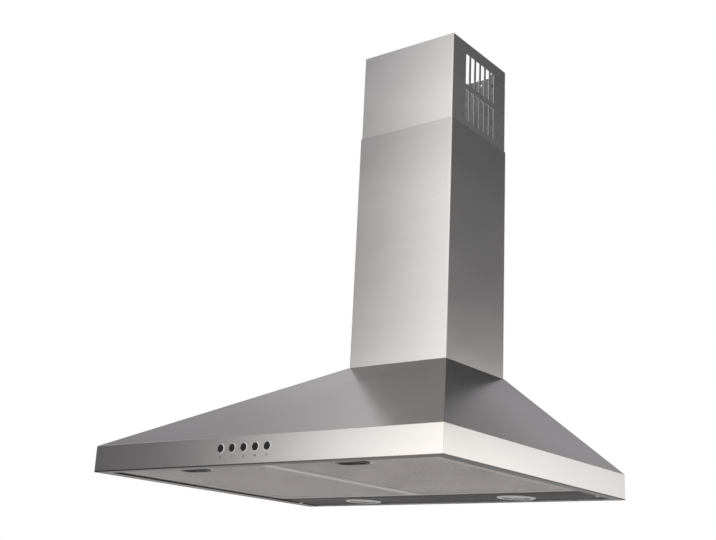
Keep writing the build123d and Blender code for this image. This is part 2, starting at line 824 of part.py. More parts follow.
with BuildPart() as switch_bracket:
    with BuildSketch(Plane.XZ.offset(hood_depth - 2 * sheet)):
        with Locations((button_row_x, button_height)):
            Rectangle(2 * (switch_half + seat_gap + sheet), switch_height + 2 * switch_plate_margin)
            with GridLocations(button_pitch, 1, button_count, 1):
                Circle(ring_hole_radius, mode=Mode.SUBTRACT)
    extrude(amount=sheet)
    for side in (-1, 1):
        with BuildSketch(Plane.XZ.offset(switch_back)):
            with Locations((button_row_x + side * (switch_half + seat_gap + sheet / 2), button_height)):
                Rectangle(sheet, switch_height)
        extrude(amount=hood_depth - 2 * sheet - switch_back)
switch_bracket.part.label = "switch_bracket"
export_step(switch_bracket.part, "parts/switch_bracket.step")

# ---- Blower: a moulded scroll in two halves round a centrifugal impeller on the motor's shaft ----

blower_face = Plane(origin=(blower_x, 0, blower_height), x_dir=(1, 0, 0), z_dir=(0, -1, 0))
blower_section = Plane(origin=(blower_x, 0, blower_height), x_dir=(1, 0, 0), z_dir=(0, 0, -1))
blower_axis = Axis((blower_x, 0, blower_height), (0, 1, 0))
scroll_rear = scroll_wall_gap
scroll_front = scroll_wall_gap + scroll_depth
scroll_split = (scroll_rear + scroll_front) / 2
neck_rise = neck_top - blower_height
neck_half = (scroll_right - tongue_x) / 2
step = scroll_growth / 2

# the air side of the scroll: quarter arcs whose radius grows by the same amount each quarter turn
with BuildSketch() as scroll_air:
    with BuildLine():
        right_wall = Line((scroll_right, neck_rise), (scroll_right, step))
        CenterArc((step, step), scroll_base + 2 * scroll_growth, 0, -90)
        CenterArc((step, -step), scroll_base + scroll_growth, -90, -90)
        last_arc = CenterArc((-step, -step), scroll_base, 180, tongue_angle - 180)
        neck_wall = Line(last_arc @ 1, (tongue_x, neck_rise))
        Line(neck_wall @ 1, right_wall @ 0)
    make_face()

with BuildSketch() as scroll_outer:
    add(scroll_air.sketch)
    offset(amount=scroll_wall, kind=Kind.ARC)
    with Locations((0, neck_rise + scroll_wall)):
        Rectangle(4 * scroll_right, 2 * scroll_wall, mode=Mode.SUBTRACT)

lug_places = []
for centre, radius, angle in (
    ((-step, -step), scroll_base, 112),
    ((-step, -step), scroll_base, 168),
    ((step, -step), scroll_base + scroll_growth, 232),
    ((step, step), scroll_base + 2 * scroll_growth, 302),
    ((step, step), scroll_base + 2 * scroll_growth, 0),
):
    reach = radius + scroll_wall + lug_radius - lug_sink
    turn = math.radians(angle)
    lug_places.append((centre[0] + reach * math.cos(turn), centre[1] + reach * math.sin(turn)))

flange_half = neck_half + scroll_wall + neck_flange

with BuildPart() as scroll_rear_half:
    with BuildSketch(blower_face.offset(scroll_rear)):
        add(scroll_outer.sketch)
    extrude(amount=scroll_split - scroll_rear)
    with BuildSketch(Plane.XY.offset(neck_top - scroll_wall)):
        with Locations((0, -(scroll_rear - neck_flange + scroll_split) / 2)):
            Rectangle(2 * flange_half, scroll_split - scroll_rear + neck_flange)
    extrude(amount=scroll_wall)
    with BuildSketch(blower_face.offset(scroll_split - lug_length)):
        with Locations(*lug_places):
            Circle(lug_radius)
    extrude(amount=lug_length)
    with BuildSketch(blower_face.offset(scroll_rear + scroll_wall)):
        add(scroll_air.sketch)
    extrude(amount=scroll_depth, mode=Mode.SUBTRACT)
    with BuildSketch(blower_face.offset(sheet)):
        with GridLocations(2 * post_offset, 2 * post_offset, 2, 2):
            Circle(screw_radius + seat_gap)
        with Locations(*lug_places):
            Circle(screw_radius + seat_gap)
        with PolarLocations(motor_pad_circle, motor_arms, 90):
            Circle(screw_radius + seat_gap)
        Circle(motor_radius + motor_hole_gap)
    extrude(amount=scroll_depth, mode=Mode.SUBTRACT)
scroll_rear_half.part.label = "scroll_rear_half"
export_step(scroll_rear_half.part, "parts/scroll_rear_half.step")

# posts that hold the blower off the back plate, on rubber bushes
with BuildPart() as blower_posts:
    with BuildSketch(blower_face.offset(sheet + bush_thickness)):
        with GridLocations(2 * post_offset, 2 * post_offset, 2, 2):
            Circle(post_radius)
            Circle(screw_radius + seat_gap, mode=Mode.SUBTRACT)
    extrude(amount=scroll_rear - sheet - bush_thickness)
blower_posts.part.label = "blower_posts"
export_step(blower_posts.part, "parts/blower_posts.step")

with BuildPart() as scroll_front_half:
    with BuildSketch(blower_face.offset(scroll_split)):
        add(scroll_outer.sketch)
    extrude(amount=scroll_front - scroll_split)
    with BuildSketch(Plane.XY.offset(neck_top - scroll_wall)):
        with Locations((0, -(scroll_front + neck_flange + scroll_split) / 2)):
            Rectangle(2 * flange_half, scroll_front - scroll_split + neck_flange)
    extrude(amount=scroll_wall)
    with BuildSketch(blower_face.offset(scroll_split)):
        with Locations(*lug_places):
            Circle(lug_radius)
    extrude(amount=lug_length)
    with BuildSketch(blower_face.offset(scroll_split)):
        add(scroll_air.sketch)
        with Locations(*lug_places):
            Circle(screw_radius + seat_gap)
    extrude(amount=scroll_front - scroll_split - scroll_wall, mode=Mode.SUBTRACT)
    with BuildSketch(blower_face.offset(scroll_front - scroll_wall)):
        Circle(inlet_radius + inlet_curve + slide_clearance)
    extrude(amount=scroll_wall, mode=Mode.SUBTRACT)
scroll_front_half.part.label = "scroll_front_half"
export_step(scroll_front_half.part, "parts/scroll_front_half.step")

with BuildPart() as scroll_screws:
    with BuildSketch(blower_face.offset(scroll_split - lug_length)):
        with Locations(*lug_places):
            Circle(screw_radius)
    extrude(amount=2 * lug_length)
    with BuildSketch(blower_face.offset(scroll_split + lug_length)):
        with Locations(*lug_places):
            Circle(screw_head_radius)
    extrude(amount=screw_head_height)
scroll_screws.part.label = "scroll_screws"
export_step(scroll_screws.part, "parts/scroll_screws.step")

with BuildPart() as blower_bushes:
    with BuildSketch(blower_face.offset(sheet)):
        with GridLocations(2 * post_offset, 2 * post_offset, 2, 2):
            Circle(post_radius)
            Circle(screw_radius + seat_gap, mode=Mode.SUBTRACT)
    extrude(amount=bush_thickness)
blower_bushes.part.label = "blower_bushes"
export_step(blower_bushes.part, "parts/blower_bushes.step")

with BuildPart() as blower_screws:
    with BuildSketch(blower_face.offset(seat_gap)):
        with GridLocations(2 * post_offset, 2 * post_offset, 2, 2):
            Circle(screw_radius)
    extrude(amount=scroll_rear + scroll_wall - seat_gap)
    with BuildSketch(blower_face.offset(scroll_rear + scroll_wall)):
        with GridLocations(2 * post_offset, 2 * post_offset, 2, 2):
            Circle(screw_head_radius)
    extrude(amount=screw_head_height)
blower_screws.part.label = "blower_screws"
export_step(blower_screws.part, "parts/blower_screws.step")

# ---- Motor in its bracket, behind the impeller ----

motor_front = motor_wall_gap + motor_length
motor_bore = shaft_radius + pin_clearance
motor_plate_front = scroll_rear - motor_bush_thickness
motor_plate_rear = motor_plate_front - scroll_wall

with BuildPart() as motor:
    with BuildSketch(blower_section):
        with BuildLine():
            Polyline(
                (motor_bore, motor_wall_gap),
                (motor_rear_radius, motor_wall_gap),
                (motor_radius - motor_step, motor_wall_gap + motor_cap_bevel),
                (motor_radius - motor_step, motor_wall_gap + motor_cap_length),
                (motor_radius, motor_wall_gap + motor_cap_length),
                (motor_radius, motor_front - motor_cone_length),
                (motor_cone_radius, motor_front - motor_cone_length + motor_cone_step),
                (motor_neck_radius, motor_front - motor_neck_length),
                (motor_nose_radius, motor_front),
                (motor_bore, motor_front),
                close=True,
            )
        make_face()
    revolve(axis=blower_axis)
    # cooling slots in the end cap
    with BuildSketch(blower_face.offset(motor_wall_gap)):
        with PolarLocations(motor_slot_circle, motor_slot_count):
            SlotOverall(motor_slot_length, motor_slot_width)
    extrude(amount=motor_slot_depth, mode=Mode.SUBTRACT)
motor.part.label = "motor"
export_step(motor.part, "parts/motor.step")

with BuildPart() as motor_bracket:
    with BuildSketch(blower_face.offset(motor_plate_rear)):
        Circle(motor_radius + motor_hole_gap - motor_ring_clearance)
        with PolarLocations(motor_pad_circle / 2, motor_arms, 90):
            Rectangle(motor_pad_circle, 2 * motor_pad_radius)
        with PolarLocations(motor_pad_circle, motor_arms, 90):
            Circle(motor_pad_radius)
            Circle(screw_radius + seat_gap, mode=Mode.SUBTRACT)
        Circle(motor_radius + seat_gap / 2, mode=Mode.SUBTRACT)
    extrude(amount=scroll_wall)
motor_bracket.part.label = "motor_bracket"
export_step(motor_bracket.part, "parts/motor_bracket.step")

with BuildPart() as motor_bushes:
    with BuildSketch(blower_face.offset(motor_plate_front)):
        with PolarLocations(motor_pad_circle, motor_arms, 90):
            Circle(motor_pad_radius)
            Circle(screw_radius + seat_gap, mode=Mode.SUBTRACT)
    extrude(amount=motor_bush_thickness)
motor_bushes.part.label = "motor_bushes"
export_step(motor_bushes.part, "parts/motor_bushes.step")

with BuildPart() as motor_screws:
    with BuildSketch(blower_face.offset(motor_plate_rear)):
        with PolarLocations(motor_pad_circle, motor_arms, 90):
            Circle(screw_radius)
    extrude(amount=scroll_rear + scroll_wall - motor_plate_rear)
    with BuildSketch(blower_face.offset(motor_plate_rear - screw_head_height)):
        with PolarLocations(motor_pad_circle, motor_arms, 90):
            Circle(screw_head_radius)
    extrude(amount=screw_head_height)
motor_screws.part.label = "motor_screws"
export_step(motor_screws.part, "parts/motor_screws.step")

# ---- Impeller: forward-curved blades between a dished hub plate and a front ring ----

impeller_rear = scroll_rear + scroll_wall + impeller_gap
impeller_front = impeller_rear + impeller_width
hub_rear = impeller_rear + cone_depth
hub_front = hub_rear + hub_length
hub_bore = shaft_radius + shaft_clearance
blade_root = impeller_radius - blade_length
blade_tip = impeller_radius - blade_inset

with BuildPart() as impeller:
    with BuildSketch(blower_section):
        with BuildLine():
            Polyline(
                (impeller_radius, impeller_rear),
                (cone_radius, impeller_rear),
                (hub_radius + hub_shoulder, hub_rear),
                (hub_bore, hub_rear),
                (hub_bore, hub_front),
                (hub_radius, hub_front),
                (hub_radius, hub_rear + impeller_plate),
                (hub_radius + hub_shoulder + impeller_plate / 2, hub_rear + impeller_plate),
                (cone_radius + impeller_plate / 2, impeller_rear + impeller_plate),
                (impeller_radius, impeller_rear + impeller_plate),
                close=True,
            )
        make_face()
    revolve(axis=blower_axis)
    with BuildSketch(blower_face.offset(impeller_front - impeller_plate)):
        Circle(impeller_radius)
        Circle(impeller_radius - impeller_ring, mode=Mode.SUBTRACT)
    extrude(amount=impeller_plate)
    with BuildSketch(blower_face.offset(impeller_rear)):
        with PolarLocations(0, blade_count):
            with BuildLine():
                half = blade_thickness / 2
                middle = (blade_root + blade_tip) / 2
                inner = ThreePointArc(
                    (blade_root, -half),
                    (middle, half / 2),
                    (blade_tip, blade_lean - half),
                )
                outer = ThreePointArc(
                    (blade_root, half),
                    (middle - half, half / 2 + blade_thickness),
                    (blade_tip - half, blade_lean + half),
                )
                Line(inner @ 0, outer @ 0)
                Line(inner @ 1, outer @ 1)
            make_face()
    extrude(amount=impeller_width)
impeller.part.label = "impeller"
export_step(impeller.part, "parts/impeller.step")

with BuildPart() as motor_shaft:
    with BuildSketch(blower_face.offset(motor_wall_gap - shaft_end)):
        Circle(shaft_radius)
    extrude(amount=hub_front + nut_height - motor_wall_gap + 2 * shaft_end)
    chamfer(motor_shaft.edges().group_by(Axis.Y)[0], shaft_bevel)
motor_shaft.part.label = "motor_shaft"
export_step(motor_shaft.part, "parts/motor_shaft.step")

with BuildPart() as impeller_nut:
    with BuildSketch(blower_face.offset(hub_front)):
        RegularPolygon(nut_radius, 6)
        Circle(hub_bore, mode=Mode.SUBTRACT)
    extrude(amount=nut_height)
impeller_nut.part.label = "impeller_nut"
export_step(impeller_nut.part, "parts/impeller_nut.step")

# ---- Inlet ring and its guard, on the front of the scroll ----

with BuildPart() as inlet_ring:
    with BuildSketch(blower_section):
        with BuildLine():
            mouth = inlet_radius + inlet_curve
            lip_front = scroll_front + inlet_thickness
            throat = lip_front - inlet_curve
            bend = math.sqrt(0.5)
            air = ThreePointArc(
                (mouth, lip_front),
                (mouth - inlet_curve * bend, throat + inlet_curve * bend),
                (inlet_radius, throat),
            )
            inner_curve = inlet_curve - inlet_thickness
            Line(air @ 1, (inlet_radius + inlet_thickness, throat))
            ThreePointArc(
                (inlet_radius + inlet_thickness, throat),
                (mouth - inner_curve * bend, throat + inner_curve * bend),
                (mouth, scroll_front),
            )
            Polyline(
                (mouth, scroll_front),
                (mouth + inlet_flange, scroll_front),
                (mouth + inlet_flange, lip_front),
                (mouth, lip_front),
            )
        make_face()
    revolve(axis=blower_axis)
inlet_ring.part.label = "inlet_ring"
export_step(inlet_ring.part, "parts/inlet_ring.step")

with BuildPart() as inlet_guard:
    guard_outer = inlet_radius + inlet_curve + inlet_flange - grille_overlap / 2
    guard_inner = inlet_radius + inlet_curve + grille_overlap
    ring_pitch = guard_inner / (grille_rings + 1)
    with BuildSketch(blower_face.offset(scroll_front + inlet_thickness)):
        Circle(guard_outer)
        Circle(guard_inner, mode=Mode.SUBTRACT)
        for ring in range(1, grille_rings + 1):
            with BuildSketch(mode=Mode.PRIVATE) as bar_ring:
                Circle(ring * ring_pitch + grille_bar / 2)
                Circle(ring * ring_pitch - grille_bar / 2, mode=Mode.SUBTRACT)
            add(bar_ring.sketch)
        with PolarLocations(guard_inner / 2 + grille_overlap, grille_spokes):
            Rectangle(guard_inner + grille_overlap, grille_bar)
    extrude(amount=grille_depth)
inlet_guard.part.label = "inlet_guard"
export_step(inlet_guard.part, "parts/inlet_guard.step")

# ---- Outlet: from the scroll's square neck to a round collar with two non-return flaps ----

outlet_depth = scroll_split
spigot_radius = duct_radius - spigot_step
socket_radius = spigot_radius + slide_clearance
socket_outer = socket_radius + duct_wall
transition_top = neck_top + transition_height
socket_top = transition_top + socket_depth

with BuildPart() as outlet_transition:
    with BuildSketch(Plane.XY.offset(neck_top + scroll_wall)):
        with Locations((0, -outlet_depth)):
            Rectangle(2 * (neck_half + scroll_wall), scroll_depth)
    with BuildSketch(Plane.XY.offset(transition_top)):
        with Locations((0, -outlet_depth)):
            Circle(socket_outer)
    loft()
    with BuildSketch(Plane.XY.offset(neck_top)):
        with Locations((0, -outlet_depth)):
            Rectangle(2 * flange_half, scroll_depth + 2 * neck_flange)
    extrude(amount=scroll_wall)
    with BuildSketch(Plane.XY.offset(transition_top)):
        with Locations((0, -outlet_depth)):
            Circle(socket_outer)
            Circle(socket_radius, mode=Mode.SUBTRACT)
    extrude(amount=socket_depth)
    with BuildSketch(Plane.XY.offset(neck_top)):
        with Locations((0, -outlet_depth)):
            Rectangle(2 * neck_half, scroll_depth - 2 * scroll_wall)
    with BuildSketch(Plane.XY.offset(transition_top)):
        with Locations((0, -outlet_depth)):
            Circle(duct_radius - duct_wall)
    loft(mode=Mode.SUBTRACT)
outlet_transition.part.label = "outlet_transition"
export_step(outlet_transition.part, "parts/outlet_transition.step")

flap_stop_top = transition_top + flap_height
flap_bottom = flap_stop_top + slide_clearance
flap_axis_height = flap_stop_top + flap_pin_radius + slide_clearance
flap_radius = duct_radius - duct_wall - flap_clearance
knuckle_bore = flap_pin_radius + pin_clearance
knuckle_radius = knuckle_bore + flap_knuckle_wall
pin_half = duct_radius - slide_clearance

with BuildPart() as outlet_collar:
    # the spigot stands in the socket, and the duct's wall rests on the socket's top
    with BuildSketch(Plane.XY.offset(transition_top)):
        with Locations((0, -outlet_depth)):
            Circle(spigot_radius)
    extrude(amount=socket_depth)
    with BuildSketch(Plane.XY.offset(socket_top)):
        with Locations((0, -outlet_depth)):
            Circle(duct_radius)
    extrude(amount=collar_length)
    with BuildSketch(Plane.XY.offset(transition_top)):
        with Locations((0, -outlet_depth)):
            Circle(duct_radius - duct_wall)
    extrude(amount=socket_depth + collar_length, mode=Mode.SUBTRACT)
    with BuildSketch(Plane.XY.offset(flap_stop_top - duct_wall)):
        with Locations((0, -outlet_depth)):
            Circle(duct_radius - duct_wall / 2)
            Circle(duct_radius - duct_wall - flap_stop, mode=Mode.SUBTRACT)
    extrude(amount=duct_wall)
    with BuildSketch(Plane.XZ.offset(outlet_depth - duct_radius)):
        with Locations((0, flap_axis_height)):
            Circle(knuckle_bore)
    extrude(amount=2 * duct_radius, mode=Mode.SUBTRACT)
outlet_collar.part.label = "outlet_collar"
export_step(outlet_collar.part, "parts/outlet_collar.step")

with BuildPart() as flap_pin:
    with BuildSketch(Plane.XZ.offset(outlet_depth - pin_half)):
        with Locations((0, flap_axis_height)):
            Circle(flap_pin_radius)
    extrude(amount=2 * pin_half)
flap_pin.part.label = "flap_pin"
export_step(flap_pin.part, "parts/flap_pin.step")

for side, sign in (("left", -1), ("right", 1)):
    with BuildPart() as flap:
        with BuildSketch(Plane.XY.offset(flap_bottom)):
            with Locations((0, -outlet_depth)):
                Circle(flap_radius)
            with Locations((-sign * (flap_radius - knuckle_radius - slide_clearance), -outlet_depth)):
                Rectangle(2 * flap_radius, 2 * flap_radius, mode=Mode.SUBTRACT)
            # bridges from the plate to this flap's knuckles
            for place in (-2, 0, 2):
                offset_depth = outlet_depth + (place + sign / 2) * flap_knuckle_pitch
                with Locations((sign * (knuckle_radius + flap_bridge) / 2, -offset_depth)):
                    Rectangle(knuckle_radius + flap_bridge, flap_knuckle)
        extrude(amount=flap_thickness)
        for place in (-2, 0, 2):
            offset_depth = outlet_depth + (place + sign / 2) * flap_knuckle_pitch
            with BuildSketch(Plane.XZ.offset(offset_depth - flap_knuckle / 2)):
                with Locations((0, flap_axis_height)):
                    Circle(knuckle_radius)
            extrude(amount=flap_knuckle)
        with BuildSketch(Plane.XZ.offset(outlet_depth - flap_radius)):
            with Locations((0, flap_axis_height)):
                Circle(knuckle_bore)
        extrude(amount=2 * flap_radius, mode=Mode.SUBTRACT)
    flap.part.label = f"flap_{side}"
    export_step(flap.part, f"parts/flap_{side}.step")

# ---- Chimney: two folded channels with their open side at the wall; the upper one slides in the lower ----

chimney_top = canopy_height + lower_chimney_length + upper_chimney_exposed
upper_rear = sheet + slide_clearance
upper_inner_half = collar_half - sheet

with BuildPart() as lower_chimney:
    with BuildSketch(Plane.XY.offset(canopy_height)):
        with Locations((0, -chimney_depth / 2)):
            RectangleRounded(chimney_width, chimney_depth, chimney_fold)
            inner_size = (chimney_width - 2 * sheet, chimney_depth - 2 * sheet)
            RectangleRounded(*inner_size, chimney_fold - sheet, mode=Mode.SUBTRACT)
        # the open side, between two return flanges
        Rectangle(chimney_width - 2 * chimney_return, chimney_return, mode=Mode.SUBTRACT)
    extrude(amount=lower_chimney_length)
lower_chimney.part.label = "lower_chimney"
export_step(lower_chimney.part, "parts/lower_chimney.step")

with BuildPart() as upper_chimney:
    with BuildSketch(Plane.XY.offset(chimney_top - upper_chimney_length)):
        with Locations((0, -(upper_rear + collar_depth) / 2)):
            RectangleRounded(2 * collar_half, collar_depth - upper_rear, inner_fold)
            inner_size = (2 * upper_inner_half, collar_depth - upper_rear - 2 * sheet)
            RectangleRounded(*inner_size, inner_fold - sheet, mode=Mode.SUBTRACT)
        with Locations((0, -upper_rear)):
            Rectangle(2 * (collar_half - chimney_return), chimney_return, mode=Mode.SUBTRACT)
    extrude(amount=upper_chimney_length)
    # upright vent slots in both sides
    vent_middle = chimney_top - vent_drop - (vent_rows - 1) / 2 * vent_row_pitch
    with BuildSketch(Plane.YZ.offset(-chimney_width / 2)):
        with Locations((-chimney_depth / 2, vent_middle)):
            with GridLocations(vent_pitch, vent_row_pitch, vent_columns, vent_rows):
                Rectangle(vent_width, vent_height)
    extrude(amount=chimney_width, mode=Mode.SUBTRACT)
    # screw holes for the wall bracket
    with BuildSketch(Plane.YZ.offset(-chimney_width / 2)):
        with Locations((-bracket_screw_depth, chimney_top - bracket_drop)):
            Circle(screw_radius + seat_gap)
    extrude(amount=chimney_width, mode=Mode.SUBTRACT)
upper_chimney.part.label = "upper_chimney"
export_step(upper_chimney.part, "parts/upper_chimney.step")

with BuildPart() as wall_bracket:
    bracket_outer = upper_inner_half - slide_clearance
    arm_front = bracket_stand_off + bracket_thickness
    # the plate hangs on the wall behind the cover's open back
    bracket_top = chimney_top - bracket_drop + bracket_height / 2
    with BuildSketch(Plane.XY.offset(bracket_top - bracket_plate_height)):
        with Locations((0, -bracket_thickness / 2)):
            Rectangle(2 * bracket_half_width, bracket_thickness)
    extrude(amount=bracket_plate_height)
    # an arm on each side reaches the cover's wall
    with BuildSketch(Plane.XY.offset(bracket_top - bracket_height)):
        for side in (-1, 1):
            with Locations((side * (bracket_half_width - bracket_thickness / 2), -arm_front / 2)):
                Rectangle(bracket_thickness, arm_front)
            arm_length = bracket_outer - bracket_half_width + bracket_thickness
            with Locations((side * (bracket_outer - arm_length / 2), -(arm_front - bracket_thickness / 2))):
                Rectangle(arm_length, bracket_thickness)
            ear = bracket_reach - bracket_stand_off
            with Locations((side * (bracket_outer - bracket_thickness / 2), -(bracket_reach - ear / 2))):
                Rectangle(bracket_thickness, ear)
    extrude(amount=bracket_height)
    with BuildSketch(Plane.XZ):
        with Locations((0, chimney_top - bracket_drop)):
            with GridLocations(bracket_hole_spacing, 1, 2, 1):
                Circle(wall_screw_radius)
    extrude(amount=bracket_thickness, mode=Mode.SUBTRACT)
    with BuildSketch(Plane.YZ.offset(-chimney_width / 2)):
        with Locations((-bracket_screw_depth, chimney_top - bracket_drop)):
            Circle(screw_radius - seat_gap)
    extrude(amount=chimney_width, mode=Mode.SUBTRACT)
wall_bracket.part.label = "wall_bracket"
export_step(wall_bracket.part, "parts/wall_bracket.step")

# ---- Electrical pieces on the back plate ----

transformer_x = transformer_side - hood_width / 2
block_face = sheet + case_wall + block_depth

with BuildPart() as capacitor:
    capacitor_depth = sheet + clip_thickness + capacitor_radius + seat_gap / 2
    with BuildSketch(Plane.XY.offset(capacitor_z)):
        with Locations((capacitor_x, -capacitor_depth)):
            Circle(capacitor_radius)
    extrude(amount=capacitor_length)
    chamfer(capacitor.edges().group_by(Axis.Z)[0], capacitor_neck)
    with BuildSketch(Plane.XY.offset(capacitor_z + capacitor_length)):
        with Locations((capacitor_x, -capacitor_depth)):
            Circle(capacitor_radius - capacitor_neck)
    extrude(amount=capacitor_neck)
    with BuildSketch(Plane.XY.offset(capacitor_z + capacitor_length + capacitor_neck)):
        with Locations((capacitor_x, -capacitor_depth)):
            with GridLocations(tab_spacing, 1, 2, 1):
                Rectangle(tab_thickness, tab_width)
    extrude(amount=tab_length)
capacitor.part.label = "capacitor"
export_step(capacitor.part, "parts/capacitor.step")

with BuildPart() as capacitor_clip:
    clip_middle = capacitor_z + capacitor_length / 2
    with BuildSketch(Plane.XY.offset(clip_middle - clip_width / 2)):
        clip_inner = capacitor_radius + seat_gap / 2
        with Locations((capacitor_x, -capacitor_depth)):
            Circle(clip_inner + clip_thickness)
        with Locations((capacitor_x, -(sheet + clip_thickness / 2))):
            Rectangle(2 * (clip_inner + clip_ear), clip_thickness)
        with Locations((capacitor_x, -capacitor_depth)):
            Circle(clip_inner, mode=Mode.SUBTRACT)
    extrude(amount=clip_width)
capacitor_clip.part.label = "capacitor_clip"
export_step(capacitor_clip.part, "parts/capacitor_clip.step")

with BuildPart() as terminal_box:
    with BuildSketch(Plane.XZ.offset(sheet)):
        with Locations((terminal_x, terminal_z)):
            RectangleRounded(terminal_width, terminal_height, case_corner)
    extrude(amount=terminal_depth)
    terminal_mouth = terminal_box.faces().sort_by(Axis.Y)[0]
    offset(amount=-case_wall, openings=terminal_mouth)
    # a slot for the mains at the end beside the gland, and one below for the leads
    with BuildSketch(Plane.YZ.offset(terminal_x)):
        with Locations((-(sheet + terminal_depth), terminal_z)):
            Rectangle(2 * lead_slot_depth, mains_slot_width)
    extrude(amount=terminal_width, mode=Mode.SUBTRACT)
    with BuildSketch(Plane.XY.offset(terminal_z - terminal_height)):
        with Locations((terminal_x, -(sheet + terminal_depth))):
            Rectangle(lead_slot_width, 2 * lead_slot_depth)
    extrude(amount=terminal_height, mode=Mode.SUBTRACT)
terminal_box.part.label = "terminal_box"
export_step(terminal_box.part, "parts/terminal_box.step")

with BuildPart() as terminal_lid:
    with BuildSketch(Plane.XZ.offset(sheet + terminal_depth)):
        with Locations((terminal_x, terminal_z)):
            RectangleRounded(terminal_width, terminal_height, case_corner)
    extrude(amount=case_wall)
    chamfer(terminal_lid.faces().sort_by(Axis.Y)[0].edges(), lid_bevel)
terminal_lid.part.label = "terminal_lid"
export_step(terminal_lid.part, "parts/terminal_lid.step")

with BuildPart() as terminal_block:
    with BuildSketch(Plane.XZ.offset(sheet + case_wall)):
        with Locations((terminal_x, terminal_z)):
            Rectangle(block_width, block_height)
    extrude(amount=block_depth)
    with BuildSketch(Plane.XZ.offset(block_face)):
        with Locations((terminal_x, terminal_z)):
            with GridLocations(block_pitch, 1, 3, 1):
                Circle(screw_radius)
    extrude(amount=-block_hole_depth, mode=Mode.SUBTRACT)
terminal_block.part.label = "terminal_block"
export_step(terminal_block.part, "parts/terminal_block.step")

with BuildPart() as lamp_transformer:
    with BuildSketch(Plane.XZ.offset(sheet)):
        with Locations((transformer_x, transformer_z)):
            Rectangle(transformer_width, transformer_height)
    extrude(amount=transformer_depth)
    fillet(lamp_transformer.edges().filter_by(Axis.Y), 2 * transformer_edge)
    chamfer(lamp_transformer.faces().sort_by(Axis.Y)[0].edges(), transformer_edge)
    # fixing ears
    with BuildSketch(Plane.XZ.offset(sheet)):
        with Locations((transformer_x, transformer_z)):
            SlotOverall(transformer_width + 2 * ear_length, ear_width)
            with GridLocations(transformer_width + ear_length, 1, 2, 1):
                Circle(screw_radius + seat_gap, mode=Mode.SUBTRACT)
    extrude(amount=ear_thickness)
lamp_transformer.part.label = "lamp_transformer"
export_step(lamp_transformer.part, "parts/lamp_transformer.step")

with BuildPart() as cable_gland:
    gland_section = Plane(origin=(gland_x, 0, gland_height), x_dir=(1, 0, 0), z_dir=(0, 0, -1))
    with BuildSketch(gland_section):
        with BuildLine():
            floor = gland_recess
            waist = gland_body_radius - gland_waist - seat_gap / 2
            Polyline(
                (gland_radius, floor - gland_flange),
                (gland_body_radius, floor - gland_flange),
                (gland_body_radius, floor),
                (waist, floor),
                (waist, floor + sheet),
                (gland_body_radius, floor + sheet),
                (gland_body_radius, floor + sheet + gland_shoulder),
                (gland_radius + gland_nose_wall, floor + sheet + gland_nose),
                (gland_radius, floor + sheet + gland_nose),
                close=True,
            )
        make_face()
    revolve(axis=Axis((gland_x, 0, gland_height), (0, 1, 0)))
cable_gland.part.label = "cable_gland"
export_step(cable_gland.part, "parts/cable_gland.step")

# ---- Leads: sheathed, from the terminal block along the back plate, each in one piece with eased bends ----

lead_start = terminal_z - lead_pitch
lead_box_depth = sheet + terminal_depth - lead_slot_depth / 2
lead_plate_depth = sheet + lead_wall_gap
lead_lamp_row = lead_motor_row - lead_row_pitch
lead_lamp_height = strip_top + lamp_can_height + lead_drop
transformer_bottom = transformer_z - transformer_height / 2
transformer_middle = sheet + transformer_depth / 2
transformer_end = transformer_x + transformer_width / 2
lead_turn_x = transformer_end + ear_length + ear_width


def lay_lead(*points):
    """Adds one round lead along straight runs to the part being built."""
    with BuildLine() as run:
        FilletPolyline(*points, radius=lead_bend)
    start = Plane(origin=run.line @ 0, z_dir=run.line % 0)
    with BuildSketch(start, mode=Mode.PRIVATE) as section:
        Circle(lead_radius)
    sweep(section.sketch, path=run.line)


with BuildPart() as motor_lead:
    motor_turn = math.radians(lead_motor_angle)
    motor_lead_x = blower_x + motor_slot_circle * math.cos(motor_turn)
    motor_lead_z = blower_height + motor_slot_circle * math.sin(motor_turn)
    lay_lead(
        (terminal_x - lead_pitch, -block_face, lead_start),
        (terminal_x - lead_pitch, -lead_box_depth, lead_start),
        (terminal_x - lead_pitch, -lead_box_depth, lead_motor_row),
        (terminal_x - lead_pitch, -lead_plate_depth, lead_motor_row),
        (motor_lead_x, -lead_plate_depth, lead_motor_row),
        (motor_lead_x, -lead_plate_depth, motor_lead_z),
        (motor_lead_x, -motor_wall_gap, motor_lead_z),
    )
motor_lead.part.label = "motor_lead"
export_step(motor_lead.part, "parts/motor_lead.step")

with BuildPart() as lamp_leads:
    # from the terminal block to the transformer's end
    lay_lead(
        (terminal_x, -block_face, lead_start),
        (terminal_x, -lead_box_depth, lead_start),
        (terminal_x, -lead_box_depth, lead_lamp_row),
        (terminal_x, -lead_plate_depth, lead_lamp_row),
        (lead_turn_x, -lead_plate_depth, lead_lamp_row),
        (lead_turn_x, -lead_plate_depth, transformer_z),
        (lead_turn_x, -transformer_middle, transformer_z),
        (transformer_end, -transformer_middle, transformer_z),
    )
    # from its underside to the top of each lamp's can
    for place, lamp_x in ((0, -lamp_spacing / 2), (1, lamp_spacing / 2)):
        lead_x = transformer_x + lead_lamp_offset + place * lead_lamp_pitch
        turn_depth = lamp_depth if place == 0 else transformer_middle
        turn_x = lead_x if place == 0 else lamp_x
        lay_lead(
            (lead_x, -transformer_middle, transformer_bottom),
            (lead_x, -transformer_middle, lead_lamp_height),
            (turn_x, -turn_depth, lead_lamp_height),
            (lamp_x, -lamp_depth, lead_lamp_height),
            (lamp_x, -lamp_depth, lead_lamp_height - lead_drop),
        )
lamp_leads.part.label = "lamp_leads"
export_step(lamp_leads.part, "parts/lamp_leads.step")

